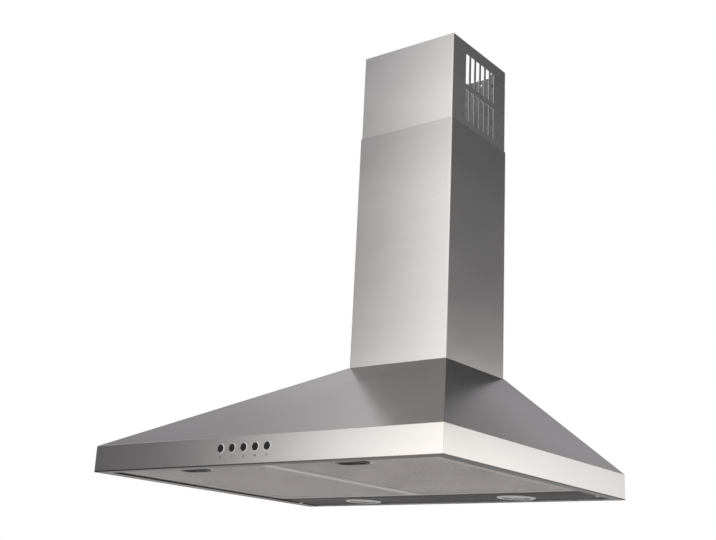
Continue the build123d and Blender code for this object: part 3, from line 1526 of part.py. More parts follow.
with BuildPart() as switch_lead:
    side_x = opening_half - ledge_width / 2
    side_height = ledge_height + sheet + lead_radius + seat_gap
    switch_middle = (switch_front + switch_back) / 2
    switch_top = button_height + switch_height / 2
    lay_lead(
        (terminal_x + lead_pitch, -block_face, lead_start),
        (terminal_x + lead_pitch, -lead_box_depth, lead_start),
        (terminal_x + lead_pitch, -lead_box_depth, lead_lamp_height - lead_radius / 2),
        (side_x, -lead_box_depth, lead_lamp_height - lead_radius / 2),
        (side_x, -lead_box_depth, side_height),
        (side_x, -switch_middle, side_height),
        (side_x, -switch_middle, switch_top + lead_drop),
        (button_row_x + lead_switch_offset, -switch_middle, switch_top + lead_drop),
        (button_row_x + lead_switch_offset, -switch_middle, switch_top),
    )
switch_lead.part.label = "switch_lead"
export_step(switch_lead.part, "parts/switch_lead.step")
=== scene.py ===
import math

import bmesh
import bpy
from mathutils import Matrix, Vector


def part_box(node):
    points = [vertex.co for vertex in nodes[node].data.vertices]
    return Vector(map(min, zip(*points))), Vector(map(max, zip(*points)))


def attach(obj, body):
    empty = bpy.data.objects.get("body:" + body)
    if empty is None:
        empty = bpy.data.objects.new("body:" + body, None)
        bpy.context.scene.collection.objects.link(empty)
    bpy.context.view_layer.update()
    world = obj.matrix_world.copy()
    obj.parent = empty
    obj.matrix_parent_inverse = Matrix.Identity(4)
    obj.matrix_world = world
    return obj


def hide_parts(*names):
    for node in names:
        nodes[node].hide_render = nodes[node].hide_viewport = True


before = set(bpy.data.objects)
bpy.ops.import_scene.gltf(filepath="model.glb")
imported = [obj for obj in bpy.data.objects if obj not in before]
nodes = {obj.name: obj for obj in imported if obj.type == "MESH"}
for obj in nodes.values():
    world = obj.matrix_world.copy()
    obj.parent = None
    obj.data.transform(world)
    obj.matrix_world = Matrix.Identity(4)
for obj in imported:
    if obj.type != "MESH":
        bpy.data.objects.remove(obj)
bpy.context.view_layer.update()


# ---- Camera: low, to the right and in front of the hood ----
# The lens and place were solved from the edges of the lip and the chimney, with no shift, so the
# view looks up past the right-hand corner of the lip.

camera_place = Vector((1.00555, -1.59816, -0.17827))
camera_yaw = math.radians(-37.45)
camera_pitch = math.radians(16.85)
camera_roll = math.radians(2.78)

ahead = Vector((
    math.sin(camera_yaw) * math.cos(camera_pitch),
    math.cos(camera_yaw) * math.cos(camera_pitch),
    math.sin(camera_pitch),
))
level_right = Vector((math.cos(camera_yaw), -math.sin(camera_yaw), 0))
level_up = level_right.cross(ahead)
right = math.cos(camera_roll) * level_right + math.sin(camera_roll) * level_up
up = -math.sin(camera_roll) * level_right + math.cos(camera_roll) * level_up

camera_data = bpy.data.cameras.new("camera")
camera_data.sensor_width = 36
camera_data.lens = 56.93
camera_data.clip_start = 0.01
camera_data.clip_end = 200
camera = bpy.data.objects.new("camera", camera_data)
camera.matrix_world = Matrix((
    (right.x, up.x, -ahead.x, camera_place.x),
    (right.y, up.y, -ahead.y, camera_place.y),
    (right.z, up.z, -ahead.z, camera_place.z),
    (0, 0, 0, 1),
))
bpy.context.scene.collection.objects.link(camera)
bpy.context.scene.camera = camera
bpy.context.scene.view_settings.view_transform = "Standard"


# ---- Studio: a pale floor, a white surround and soft light from panels ----
# The camera sees plain white round the hood. What the sheet mirrors is a broad panel in front that is
# brightest a little to the left, a dark gap beyond it, bright panels behind and soft light from above.

floor_height = -2.2
floor_half = 30

mesh = bpy.data.meshes.new("studio_floor")
mesh.from_pydata(
    [
        (-floor_half, -floor_half, floor_height),
        (floor_half, -floor_half, floor_height),
        (floor_half, floor_half, floor_height),
        (-floor_half, floor_half, floor_height),
    ],
    [],
    [(0, 1, 2, 3)],
)
studio_floor = bpy.data.objects.new("studio_floor", mesh)
bpy.context.scene.collection.objects.link(studio_floor)

floor_paint = bpy.data.materials.new("floor_paint")
floor_paint.use_nodes = True
floor_shader = floor_paint.node_tree.nodes["Principled BSDF"]
floor_shader.inputs["Base Color"].default_value = (0.86, 0.86, 0.85, 1)
floor_shader.inputs["Roughness"].default_value = 0.7
studio_floor.data.materials.append(floor_paint)

surround = bpy.data.worlds.new("surround")
surround.use_nodes = True
bpy.context.scene.world = surround
sky = surround.node_tree
sky.nodes.clear()


def feed(tree, socket, value):
    """Links another node's output to a socket, or sets the socket where the value is plain."""
    if isinstance(value, bpy.types.NodeSocket):
        tree.links.new(value, socket)
    else:
        socket.default_value = value


def math_node(tree, operation, first, second=None):
    """One sum, with each side a number or a socket."""
    node = tree.nodes.new("ShaderNodeMath")
    node.operation = operation
    feed(tree, node.inputs[0], first)
    if second is not None:
        feed(tree, node.inputs[1], second)
    return node.outputs[0]


def scaled(tree, vector, factors):
    """The vector times three factors, a tuple or a socket."""
    multiply = tree.nodes.new("ShaderNodeVectorMath")
    multiply.operation = "MULTIPLY"
    tree.links.new(vector, multiply.inputs[0])
    feed(tree, multiply.inputs[1], factors)
    return multiply.outputs["Vector"]


def fitted(tree, value, low, high, start=0.0, end=1.0, ease="LINEAR"):
    """A value in start..end moved to low..high. Each of the four is a number or a socket."""
    spread = tree.nodes.new("ShaderNodeMapRange")
    spread.interpolation_type = ease
    tree.links.new(value, spread.inputs["Value"])
    for socket, number in (("From Min", start), ("From Max", end), ("To Min", low), ("To Max", high)):
        feed(tree, spread.inputs[socket], number)
    return spread.outputs["Result"]


def blended(tree, value, low_colour, high_colour, blend="MIX"):
    """A colour between two, by a value from 0 to 1. Each colour is a tuple or a socket."""
    mix = tree.nodes.new("ShaderNodeMix")
    mix.data_type = "RGBA"
    mix.blend_type = blend
    tree.links.new(value, mix.inputs["Factor"])
    for socket, colour in (("A", low_colour), ("B", high_colour)):
        feed(tree, mix.inputs[socket], (*colour, 1) if isinstance(colour, tuple) else colour)
    return mix.outputs["Result"]


direction = sky.nodes.new("ShaderNodeTexCoord")
heading = sky.nodes.new("ShaderNodeSeparateXYZ")
sky.links.new(direction.outputs["Generated"], heading.inputs["Vector"])
leftward = math_node(sky, "MULTIPLY", heading.outputs["X"], -1)
forward = math_node(sky, "MULTIPLY", heading.outputs["Y"], -1)
turn_share = fitted(sky, math_node(sky, "ARCTAN2", leftward, forward), 0.0, 1.0, -math.pi, math.pi)


def band_round(stops):
    """A band of greys round the hood, at turns from -180 to 180 degrees: 0 in front, 90 at the left."""
    ramp = sky.nodes.new("ShaderNodeValToRGB")
    ramp.color_ramp.interpolation = "EASE"
    while len(ramp.color_ramp.elements) < len(stops):
        ramp.color_ramp.elements.new(0.5)
    for element, (degrees, level) in zip(ramp.color_ramp.elements, stops):
        element.position = (degrees + 180) / 360
        element.color = (level, level, level, 1)
    sky.links.new(turn_share, ramp.inputs["Fac"])
    return ramp.outputs["Color"]


low_band = band_round((
    (-180, 0.45), (-162, 0.58), (-146, 0.90), (-120, 0.30), (-60, 0.42), (0, 0.54), (17, 0.62),
    (26, 0.91), (34, 0.91), (37, 0.85), (40, 0.50), (43, 0.16), (48, 0.04), (90, 0.06),
    (119, 0.46), (168, 0.48),
))
high_band = band_round((
    (-180, 0.30), (-168, 0.12), (-150, 0.075), (-118, 0.10), (-60, 0.40), (0, 0.52), (17, 0.60),
    (25, 0.84), (30, 0.84), (33, 0.58), (37, 0.11), (46, 0.04), (84, 0.14), (98, 0.80), (112, 0.80),
    (121, 0.27), (128, 0.40), (136, 0.49), (162, 0.42), (170, 0.34),
))
flag_band = band_round((
    (-180, 0.20), (-150, 0.10), (-118, 0.16), (-60, 0.28), (-10, 0.32), (14, 0.50), (24, 0.73),
    (31, 0.66), (36, 0.22), (40, 0.20), (47, 0.37), (70, 0.28), (104, 0.13), (119, 0.17),
    (127, 0.31), (136, 0.55), (142, 0.54), (152, 0.16), (172, 0.09),
))
overhead = (0.52, 0.52, 0.52)


def climb(from_degrees, to_degrees):
    """A smooth step over the height above the horizon, in degrees."""
    low, high = (math.sin(math.radians(degrees)) for degrees in (from_degrees, to_degrees))
    return fitted(sky, heading.outputs["Z"], 0.0, 1.0, low, high, "SMOOTHSTEP")


# from the floor up, each band gives way to the next at these heights, and the last to an even grey
panels = blended(sky, climb(9.2, 10.8), low_band, high_band)
panels = blended(sky, climb(24, 31), panels, flag_band)
panels = blended(sky, climb(48, 70), panels, overhead)
# the brighter part of a panel is a little warmer than its dim part
warmth = blended(sky, panels, (1.0, 0.985, 1.03), (1.02, 0.99, 0.965))
panel_strength = 1.765
lit_panels = scaled(sky, scaled(sky, panels, warmth), (panel_strength, panel_strength, panel_strength))

# the camera sees white, mirrors and glass see the panels, and the rest gets the even light of a room
rays = sky.nodes.new("ShaderNodeLightPath")
shown = sky.nodes.new("ShaderNodeBackground")
white = (1.0, 1.0, 1.0)
sky.links.new(blended(sky, rays.outputs["Is Camera Ray"], lit_panels, white), shown.inputs["Color"])
room = sky.nodes.new("ShaderNodeBackground")
room.inputs["Color"].default_value = (0.81, 0.81, 0.81, 1)
camera_or_mirror = math_node(sky, "ADD", rays.outputs["Is Camera Ray"], rays.outputs["Is Glossy Ray"])
not_room = math_node(sky, "ADD", camera_or_mirror, rays.outputs["Is Transmission Ray"])
not_room.node.use_clamp = True
choose = sky.nodes.new("ShaderNodeMixShader")
sky.links.new(not_room, choose.inputs["Fac"])
sky.links.new(room.outputs["Background"], choose.inputs[1])
sky.links.new(shown.outputs["Background"], choose.inputs[2])
sky_out = sky.nodes.new("ShaderNodeOutputWorld")
sky.links.new(choose.outputs["Shader"], sky_out.inputs["Surface"])

for lamp_name, place, aim, size, watts in (
    ("key_panel", (1.6, -2.6, 2.6), (0, -0.2, 0.3), 3.0, 12),
    ("fill_panel", (-2.8, -1.2, 1.6), (0, -0.2, 0.2), 2.0, 7),
):
    lamp_data = bpy.data.lights.new(lamp_name, "AREA")
    lamp_data.size = size
    lamp_data.energy = watts
    lamp = bpy.data.objects.new(lamp_name, lamp_data)
    lamp.location = place
    lamp.rotation_euler = (Vector(aim) - Vector(place)).to_track_quat("-Z", "Y").to_euler()
    bpy.context.scene.collection.objects.link(lamp)


# ---- Canopy shell and chimney covers: brushed stainless sheet ----
# The canopy is one folded and welded sheet with a turned-in lip. The two chimney covers are folded
# channels, one sliding in the other. All are brushed along the horizontal outside and wiped clean,
# which leaves faint smears. Inside they are as they came from the mill.

def new_finish(name, colour, metallic, roughness, **settings):
    """A named finish: its material, its node tree and its shader."""
    material = bpy.data.materials.new(name)
    material.use_nodes = True
    shader = material.node_tree.nodes["Principled BSDF"]
    shader.inputs["Base Color"].default_value = (*colour, 1)
    shader.inputs["Metallic"].default_value = metallic
    shader.inputs["Roughness"].default_value = roughness
    for socket, value in settings.items():
        shader.inputs[socket.replace("_", " ")].default_value = value
    return material, material.node_tree, shader


def lay_on(material, *names):
    """Gives the finish to nodes of the frame."""
    for name in names:
        nodes[name].data.materials.clear()
        nodes[name].data.materials.append(material)


def new_group(name, inputs, outputs):
    """An empty shader group with float or vector inputs, and its input and output nodes."""
    group = bpy.data.node_groups.new(name, "ShaderNodeTree")
    for socket, kind, value in inputs:
        made = group.interface.new_socket(socket, in_out="INPUT", socket_type=kind)
        if value is not None:
            made.default_value = value
    for socket, kind in outputs:
        group.interface.new_socket(socket, in_out="OUTPUT", socket_type=kind)
    return group, group.nodes.new("NodeGroupInput"), group.nodes.new("NodeGroupOutput")


def place_group(tree, group, **values):
    """The group as a node of a finish, fed with the piece's own coordinates."""
    node = tree.nodes.new("ShaderNodeGroup")
    node.node_tree = group
    spot = tree.nodes.new("ShaderNodeTexCoord")
    tree.links.new(spot.outputs["Object"], node.inputs["Vector"])
    for socket, value in values.items():
        node.inputs[socket].default_value = value
    return node


def noise(tree, vector, scale, detail=2.0, rough=0.5):
    """A noise texture's value at a vector."""
    texture = tree.nodes.new("ShaderNodeTexNoise")
    texture.inputs["Scale"].default_value = scale
    texture.inputs["Detail"].default_value = detail
    texture.inputs["Roughness"].default_value = rough
    tree.links.new(vector, texture.inputs["Vector"])
    return texture.outputs["Fac"]


def raised(tree, shader, height, depth, edge=0.0):
    """A bump of that depth in metres on the shader, over edges eased by a radius."""
    bump = tree.nodes.new("ShaderNodeBump")
    bump.inputs["Strength"].default_value = 1
    bump.inputs["Distance"].default_value = depth
    tree.links.new(height, bump.inputs["Height"])
    if edge:
        eased = tree.nodes.new("ShaderNodeBevel")
        eased.inputs["Radius"].default_value = edge
        tree.links.new(eased.outputs["Normal"], bump.inputs["Normal"])
    tree.links.new(bump.outputs["Normal"], shader.inputs["Normal"])


brushing, ins, outs = new_group(
    "brushing",
    (("Vector", "NodeSocketVector", None), ("Lines", "NodeSocketVector", (18, 18, 1500))),
    (("Grain", "NodeSocketFloat"), ("Tone", "NodeSocketFloat"), ("Smears", "NodeSocketFloat")),
)
along_lines = scaled(brushing, ins.outputs["Vector"], ins.outputs["Lines"])
fine = noise(brushing, along_lines, 1.0, 3.0, 0.7)
broad = noise(brushing, scaled(brushing, along_lines, (0.3, 0.3, 0.3)), 1.0, 2.0, 0.5)
fine_part = math_node(brushing, "MULTIPLY", fine, 0.65)
broad_part = math_node(brushing, "MULTIPLY", broad, 0.35)
strokes = math_node(brushing, "ADD", fine_part, broad_part)
wiped = noise(brushing, scaled(brushing, ins.outputs["Vector"], (1.0, 1.0, 2.2)), 9.0)
brushing.links.new(strokes, outs.inputs["Grain"])
brushing.links.new(fitted(brushing, strokes, 0.0, 1.0, 0.3, 0.7), outs.inputs["Tone"])
brushing.links.new(fitted(brushing, wiped, 0.0, 1.0, 0.2, 0.8), outs.inputs["Smears"])


def brushed_sheet(
    name, pale, dull, lines=(3, 3, 700), low_rough=0.19, high_rough=0.215, grain_depth=0.000003,
    edge=0.0008, edge_tint=(0.48, 0.48, 0.49),
):
    """Brushed stainless sheet: lines along the grain, uneven gloss and softened folds."""
    material, tree, shader = new_finish(name, pale, 1.0, low_rough)
    shader.inputs["Anisotropic"].default_value = 0.5
    shader.inputs["Anisotropic Rotation"].default_value = 0.25
    shader.inputs["Specular Tint"].default_value = (*edge_tint, 1)
    grain = place_group(tree, brushing, Lines=lines)
    tree.links.new(blended(tree, grain.outputs["Tone"], dull, pale), shader.inputs["Base Color"])
    tree.links.new(fitted(tree, grain.outputs["Smears"], low_rough, high_rough), shader.inputs["Roughness"])
    along = tree.nodes.new("ShaderNodeTangent")
    along.direction_type = "RADIAL"
    along.axis = "Z"
    tree.links.new(along.outputs["Tangent"], shader.inputs["Tangent"])
    raised(tree, shader, grain.outputs["Grain"], grain_depth, edge)
    return material


def painted_shade_by_height(material, tone, from_height, to_height):
    """Paints shade on the sheet: multiplies its colour by a tone that sets in from one height to another."""
    tree = material.node_tree
    colour = tree.nodes["Principled BSDF"].inputs["Base Color"]
    spot = tree.nodes.new("ShaderNodeTexCoord")
    place = tree.nodes.new("ShaderNodeSeparateXYZ")
    tree.links.new(spot.outputs["Object"], place.inputs["Vector"])
    share = fitted(tree, place.outputs["Z"], 0.0, 1.0, from_height, to_height, "SMOOTHSTEP")
    tree.links.new(blended(tree, share, colour.links[0].from_socket, tone, "MULTIPLY"), colour)


def mill_inside(material, heart, mill_colour, mill_rough):
    """Leaves the faces that look towards a point inside the sheet as they came from the mill."""
    tree = material.node_tree
    colour, gloss = (tree.nodes["Principled BSDF"].inputs[socket] for socket in ("Base Color", "Roughness"))
    spot = tree.nodes.new("ShaderNodeTexCoord")
    outward = tree.nodes.new("ShaderNodeVectorMath")
    outward.operation = "SUBTRACT"
    outward.inputs[1].default_value = heart
    tree.links.new(spot.outputs["Object"], outward.inputs[0])
    facing = tree.nodes.new("ShaderNodeNewGeometry")
    side = tree.nodes.new("ShaderNodeVectorMath")
    side.operation = "DOT_PRODUCT"
    tree.links.new(outward.outputs["Vector"], side.inputs[0])
    tree.links.new(facing.outputs["True Normal"], side.inputs[1])
    inner = math_node(tree, "LESS_THAN", side.outputs["Value"], 0.0)
    tree.links.new(blended(tree, inner, colour.links[0].from_socket, mill_colour), colour)
    tree.links.new(fitted(tree, inner, gloss.links[0].from_socket, mill_rough), gloss)


outer_pale = (0.78, 0.768, 0.75)
outer_dull = (0.745, 0.733, 0.715)
canopy_steel = brushed_sheet("brushed_steel", outer_pale, outer_dull, edge=0.0009)
# painted shade: the underside of the turned-in lip is darkened to a deep grey, for the shade in the gap
# under the lip
painted_shade_by_height(canopy_steel, (0.20, 0.188, 0.192), 0.0022, 0.0013)
mill_inside(canopy_steel, (0, -0.2, 0.02), (0.70, 0.70, 0.69), 0.5)
lay_on(canopy_steel, "canopy_shell")

# painted shade: the covers grow a little darker towards the top. The upper cover's sheet is a touch paler,
# which is partly painted reflection.
cover_top_shade = (0.84, 0.84, 0.85)
lower_steel = brushed_sheet("lower_cover_steel", outer_pale, outer_dull)
painted_shade_by_height(lower_steel, cover_top_shade, 0.46, 0.60)
mill_inside(lower_steel, (0, -0.09, 0.5), (0.74, 0.74, 0.73), 0.5)
lay_on(lower_steel, "lower_chimney")
upper_steel = brushed_sheet("upper_cover_steel", (0.79, 0.785, 0.768), (0.755, 0.75, 0.733))
painted_shade_by_height(upper_steel, cover_top_shade, 0.62, 0.75)
mill_inside(upper_steel, (0, -0.09, 0.6), (0.82, 0.82, 0.81), 0.55)
lay_on(upper_steel, "upper_chimney")


# ---- Underside pan and lamp strip: the same sheet, brushed along the width ----
# The pan is a pressed tray that rests on the turned-in lip and carries the filters. The lamp strip is
# a flanged tray screwed under it. Both are duller than the outside. The strip is a much darker copy of
# the pan's sheet, which is painted shade along the rear of the underside.

underside = brushed_sheet(
    "underside_steel", (0.58, 0.54, 0.545), (0.54, 0.505, 0.51), (3, 700, 3),
    0.30, 0.36, 0.000004, 0.0006, (0.55, 0.55, 0.55),
)
lay_on(underside, "underside_pan")
# painted shade: the lamp strip's sheet is made much darker than the pan's
strip_steel = brushed_sheet(
    "strip_steel", (0.166, 0.156, 0.159), (0.140, 0.130, 0.133), (3, 700, 3),
    0.32, 0.40, 0.000004, 0.0006, (0.35, 0.35, 0.35),
)
lay_on(strip_steel, "lamp_strip")


# ---- Zinc-coated pieces: back plate, brackets and clips ----
# Plain sheet steel, pressed to shape and screwed in place, with the flowered pattern of hot-dip zinc.
# It is dull and slightly blue. The bracket under the ceiling has gone darker.

def zinc(name, dark, light, low_rough, high_rough):
    """Sheet with the flowers of hot-dip zinc."""
    material, tree, shader = new_finish(name, light, 0.9, low_rough)
    spot = tree.nodes.new("ShaderNodeTexCoord")
    flowers = tree.nodes.new("ShaderNodeTexVoronoi")
    flowers.inputs["Scale"].default_value = 90
    tree.links.new(spot.outputs["Object"], flowers.inputs["Vector"])
    flower_tone = tree.nodes.new("ShaderNodeSeparateColor")
    tree.links.new(flowers.outputs["Color"], flower_tone.inputs["Color"])
    tree.links.new(blended(tree, flower_tone.outputs["Red"], dark, light), shader.inputs["Base Color"])
    gloss = fitted(tree, flower_tone.outputs["Green"], low_rough, high_rough)
    tree.links.new(gloss, shader.inputs["Roughness"])
    raised(tree, shader, noise(tree, spot.outputs["Object"], 260, 3), 0.00004, 0.0005)
    return material


zinc_coated = zinc("galvanised_steel", (0.49, 0.51, 0.53), (0.62, 0.64, 0.65), 0.36, 0.58)
lay_on(zinc_coated, "back_plate", "switch_bracket", "motor_bracket", "capacitor_clip")
aged_zinc = zinc("aged_zinc", (0.22, 0.225, 0.23), (0.31, 0.315, 0.32), 0.48, 0.66)
lay_on(aged_zinc, "wall_bracket")


# ---- Grease filters: aluminium frames round expanded mesh ----
# Each frame is a folded channel, with a painted highlight along the edges where the two meet. The mesh that
# shows is slit and stretched sheet, so its strands stand on edge round small diamonds. Under it lie darker
# layers that have taken up some grease.

frame_pale = (0.63, 0.595, 0.59)
frame_dull = (0.59, 0.555, 0.55)
# the colour of the painted highlight along the seam
seam_highlight = (0.97, 0.96, 0.95)
frame_metal, tree, shader = new_finish("filter_aluminium", frame_pale, 1.0, 0.38)
shader.inputs["Specular Tint"].default_value = (0.55, 0.55, 0.55, 1)
grain = place_group(tree, brushing, Lines=(3, 700, 3))
spot = tree.nodes.new("ShaderNodeTexCoord")
place = tree.nodes.new("ShaderNodeSeparateXYZ")
tree.links.new(spot.outputs["Object"], place.inputs["Vector"])
# painted highlight: the frames turn near white within a few millimetres of the seam
from_seam = math_node(tree, "ABSOLUTE", place.outputs["X"])
seam_highlight_share = fitted(tree, from_seam, 1.0, 0.0, 0.0028, 0.0042)
wiped_tone = blended(tree, grain.outputs["Tone"], frame_dull, frame_pale)
tree.links.new(blended(tree, seam_highlight_share, wiped_tone, seam_highlight), shader.inputs["Base Color"])
tree.links.new(fitted(tree, grain.outputs["Smears"], 0.34, 0.44), shader.inputs["Roughness"])
raised(tree, shader, grain.outputs["Grain"], 0.000005, 0.0007)
lay_on(frame_metal, "filter_left_frame", "filter_right_frame")

mesh_layers, tree, shader = new_finish("filter_mesh_aluminium", (0.34, 0.33, 0.31), 0.9, 0.5)
spot = tree.nodes.new("ShaderNodeTexCoord")
cells = tree.nodes.new("ShaderNodeTexVoronoi")
cells.feature = "DISTANCE_TO_EDGE"
cells.inputs["Scale"].default_value = 260
tree.links.new(scaled(tree, spot.outputs["Object"], (0.7, 1.3, 1.0)), cells.inputs["Vector"])
strands = fitted(tree, cells.outputs["Distance"], 1.0, 0.0, 0.0, 0.25)
tree.links.new(blended(tree, strands, (0.37, 0.34, 0.34), (0.67, 0.635, 0.63)), shader.inputs["Base Color"])
greasy = noise(tree, spot.outputs["Object"], 30, 3)
tree.links.new(fitted(tree, greasy, 0.38, 0.62), shader.inputs["Roughness"])
raised(tree, shader, strands, 0.0003)
lay_on(mesh_layers, "filter_left_mesh", "filter_right_mesh")

lattice = bpy.data.node_groups.new("stretched_mesh", "GeometryNodeTree")
for socket in ("Width", "Length", "Cell Width", "Cell Length", "Strand Width", "Strand Height"):
    lattice.interface.new_socket(socket, in_out="INPUT", socket_type="NodeSocketFloat")
lattice.interface.new_socket("Finish", in_out="INPUT", socket_type="NodeSocketMaterial")
lattice.interface.new_socket("Geometry", in_out="OUTPUT", socket_type="NodeSocketGeometry")
given = lattice.nodes.new("NodeGroupInput").outputs

# one strand, a thin bar on edge that reaches a little past the corners of its cell
strand_run = math_node(lattice, "MULTIPLY", given["Cell Width"], 0.5)
strand_rise = math_node(lattice, "MULTIPLY", given["Cell Length"], 0.5)
run_squared = math_node(lattice, "POWER", strand_run, 2.0)
rise_squared = math_node(lattice, "POWER", strand_rise, 2.0)
strand_length = math_node(lattice, "SQRT", math_node(lattice, "ADD", run_squared, rise_squared))
strand_size = lattice.nodes.new("ShaderNodeCombineXYZ")
lattice.links.new(math_node(lattice, "MULTIPLY", strand_length, 1.06), strand_size.inputs["X"])
lattice.links.new(given["Strand Width"], strand_size.inputs["Y"])
lattice.links.new(given["Strand Height"], strand_size.inputs["Z"])
strand = lattice.nodes.new("GeometryNodeMeshCube")
lattice.links.new(strand_size.outputs[0], strand.inputs["Size"])

# a point for each strand, in columns and rows half a cell apart
rows = lattice.nodes.new("GeometryNodeMeshGrid")
lattice.links.new(given["Width"], rows.inputs["Size X"])
lattice.links.new(given["Length"], rows.inputs["Size Y"])
across = math_node(lattice, "ROUND", math_node(lattice, "DIVIDE", given["Width"], strand_run))
along = math_node(lattice, "ROUND", math_node(lattice, "DIVIDE", given["Length"], strand_rise))
down = math_node(lattice, "ADD", along, 1.0)
lattice.links.new(math_node(lattice, "ADD", across, 1.0), rows.inputs["Vertices X"])
lattice.links.new(down, rows.inputs["Vertices Y"])

# neighbours lean opposite ways, so that four of them make a diamond
number = lattice.nodes.new("GeometryNodeInputIndex").outputs[0]
column = math_node(lattice, "FLOOR", math_node(lattice, "DIVIDE", number, down))
row = math_node(lattice, "SUBTRACT", number, math_node(lattice, "MULTIPLY", column, down))
parity = math_node(lattice, "MODULO", math_node(lattice, "ADD", column, row), 2.0)
sign = math_node(lattice, "SUBTRACT", math_node(lattice, "MULTIPLY", parity, 2.0), 1.0)
lean = math_node(lattice, "ARCTAN2", strand_rise, strand_run)
turned = lattice.nodes.new("ShaderNodeCombineXYZ")
lattice.links.new(math_node(lattice, "MULTIPLY", lean, sign), turned.inputs["Z"])


def repeated(tree, finish, points, pattern, rotation):
    """Ends a tree with its pattern at every point, made real and given its finish."""
    laid = tree.nodes.new("GeometryNodeInstanceOnPoints")
    for socket, value in (("Points", points), ("Instance", pattern), ("Rotation", rotation)):
        tree.links.new(value, laid.inputs[socket])
    real = tree.nodes.new("GeometryNodeRealizeInstances")
    tree.links.new(laid.outputs["Instances"], real.inputs["Geometry"])
    painted = tree.nodes.new("GeometryNodeSetMaterial")
    tree.links.new(real.outputs["Geometry"], painted.inputs["Geometry"])
    tree.links.new(finish, painted.inputs["Material"])
    tree_out = tree.nodes.new("NodeGroupOutput")
    tree.links.new(painted.outputs["Geometry"], tree_out.inputs["Geometry"])


repeated(lattice, given["Finish"], rows.outputs["Mesh"], strand.outputs["Mesh"], turned.outputs[0])

strand_metal, tree, shader = new_finish("strand_aluminium", (0.73, 0.695, 0.69), 1.0, 0.36)
spot = tree.nodes.new("ShaderNodeTexCoord")
greasy = noise(tree, spot.outputs["Object"], 14, 3, 0.6)
tree.links.new(blended(tree, greasy, (0.67, 0.635, 0.63), (0.77, 0.74, 0.735)), shader.inputs["Base Color"])
tree.links.new(fitted(tree, greasy, 0.30, 0.44, 0.3, 0.7), shader.inputs["Roughness"])
raised(tree, shader, noise(tree, spot.outputs["Object"], 1400, 2), 0.00002)


def plain_mesh(name, tree, places=(), **values):
    """Runs a geometry tree once, over any places, and gives what it makes as one plain mesh."""
    start = bpy.data.meshes.new(name + "_nodes")
    start.from_pydata(places, [], [])
    holder = bpy.data.objects.new(name + "_nodes", start)
    bpy.context.scene.collection.objects.link(holder)
    modifier = holder.modifiers.new("nodes", "NODES")
    modifier.node_group = tree
    for item in tree.interface.items_tree:
        sized = item.item_type == "SOCKET" and item.socket_type != "NodeSocketGeometry"
        if sized and item.in_out == "INPUT":
            modifier[item.identifier] = values[item.name.replace(" ", "_")]
    depsgraph = bpy.context.evaluated_depsgraph_get()
    made = bpy.data.meshes.new_from_object(holder.evaluated_get(depsgraph))
    bpy.data.objects.remove(holder)
    made.name = name
    # the tree leaves an empty slot before the finish
    finish = made.materials[-1]
    made.materials.clear()
    made.materials.append(finish)
    return made


def lay_mesh(name, mesh, body):
    """A piece from a finished mesh, laid on a body."""
    piece = bpy.data.objects.new(name, mesh)
    bpy.context.scene.collection.objects.link(piece)
    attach(piece, body)
    return piece


# the middle of each frame's window, and the room that the latch cup takes up at its front
window_offset, window_depth, window_height = 0.1385, -0.291, 0.0041
cup_offset, cup_half_width, cup_rear = 0.008, 0.0265, -0.4305


def clear_cup(mesh, cup_middle):
    """Takes out the strands that reach into the latch cup or the slider's way."""
    work = bmesh.new()
    work.from_mesh(mesh)
    unwanted = [
        vertex for vertex in work.verts
        if abs(vertex.co.x - cup_middle) < cup_half_width and vertex.co.y < cup_rear
    ]
    linked = {face for vertex in unwanted for face in vertex.link_faces}
    grown = True
    while grown:
        more = {face for held in linked for corner in held.verts for face in corner.link_faces} - linked
        grown = bool(more)
        linked |= more
    bmesh.ops.delete(work, geom=list(linked), context="FACES")
    bmesh.ops.delete(work, geom=[vertex for vertex in work.verts if not vertex.link_faces], context="VERTS")
    work.to_mesh(mesh)
    work.free()


for side, middle in (("left", -window_offset), ("right", window_offset)):
    stretched = plain_mesh(
        f"filter_{side}_lattice", lattice, Width=0.240, Length=0.342, Cell_Width=0.010, Cell_Length=0.006,
        Strand_Width=0.0007, Strand_Height=0.0012, Finish=strand_metal)
    stretched.transform(Matrix.Translation((middle, window_depth, window_height)))
    clear_cup(stretched, middle - cup_offset)
    lay_mesh(f"filter_{side}_lattice", stretched, f"filter_{side}")


# ---- Filter latches: black moulded cups and sliders ----
# The cup is a long oval recess for two fingertips, moulded in black plastic and held in the frame. The
# slider runs in it and goes forward into the pan.

moulded_grain, ins, outs = new_group(
    "moulded_grain",
    (("Vector", "NodeSocketVector", None), ("Grain Size", "NodeSocketFloat", 900.0)),
    (("Height", "NodeSocketFloat"), ("Patches", "NodeSocketFloat")),
)
pebbles = moulded_grain.nodes.new("ShaderNodeTexVoronoi")
pebbles.feature = "SMOOTH_F1"
moulded_grain.links.new(ins.outputs["Vector"], pebbles.inputs["Vector"])
moulded_grain.links.new(ins.outputs["Grain Size"], pebbles.inputs["Scale"])
moulded_grain.links.new(pebbles.outputs["Distance"], outs.inputs["Height"])
patches = noise(moulded_grain, ins.outputs["Vector"], 28, 4, 0.6)
moulded_grain.links.new(fitted(moulded_grain, patches, 0.0, 1.0, 0.3, 0.7), outs.inputs["Patches"])


def moulded(name, dark, light, low_rough, high_rough, grain=900.0, depth=0.00005, edge=0.0004, **settings):
    """Moulded plastic or rubber: a fine pebbled skin with uneven gloss and eased edges."""
    material, tree, shader = new_finish(name, light, 0.0, low_rough, **settings)
    skin = place_group(tree, moulded_grain, **{"Grain Size": grain})
    tree.links.new(blended(tree, skin.outputs["Patches"], dark, light), shader.inputs["Base Color"])
    tree.links.new(fitted(tree, skin.outputs["Patches"], high_rough, low_rough), shader.inputs["Roughness"])
    raised(tree, shader, skin.outputs["Height"], depth, edge)
    return material


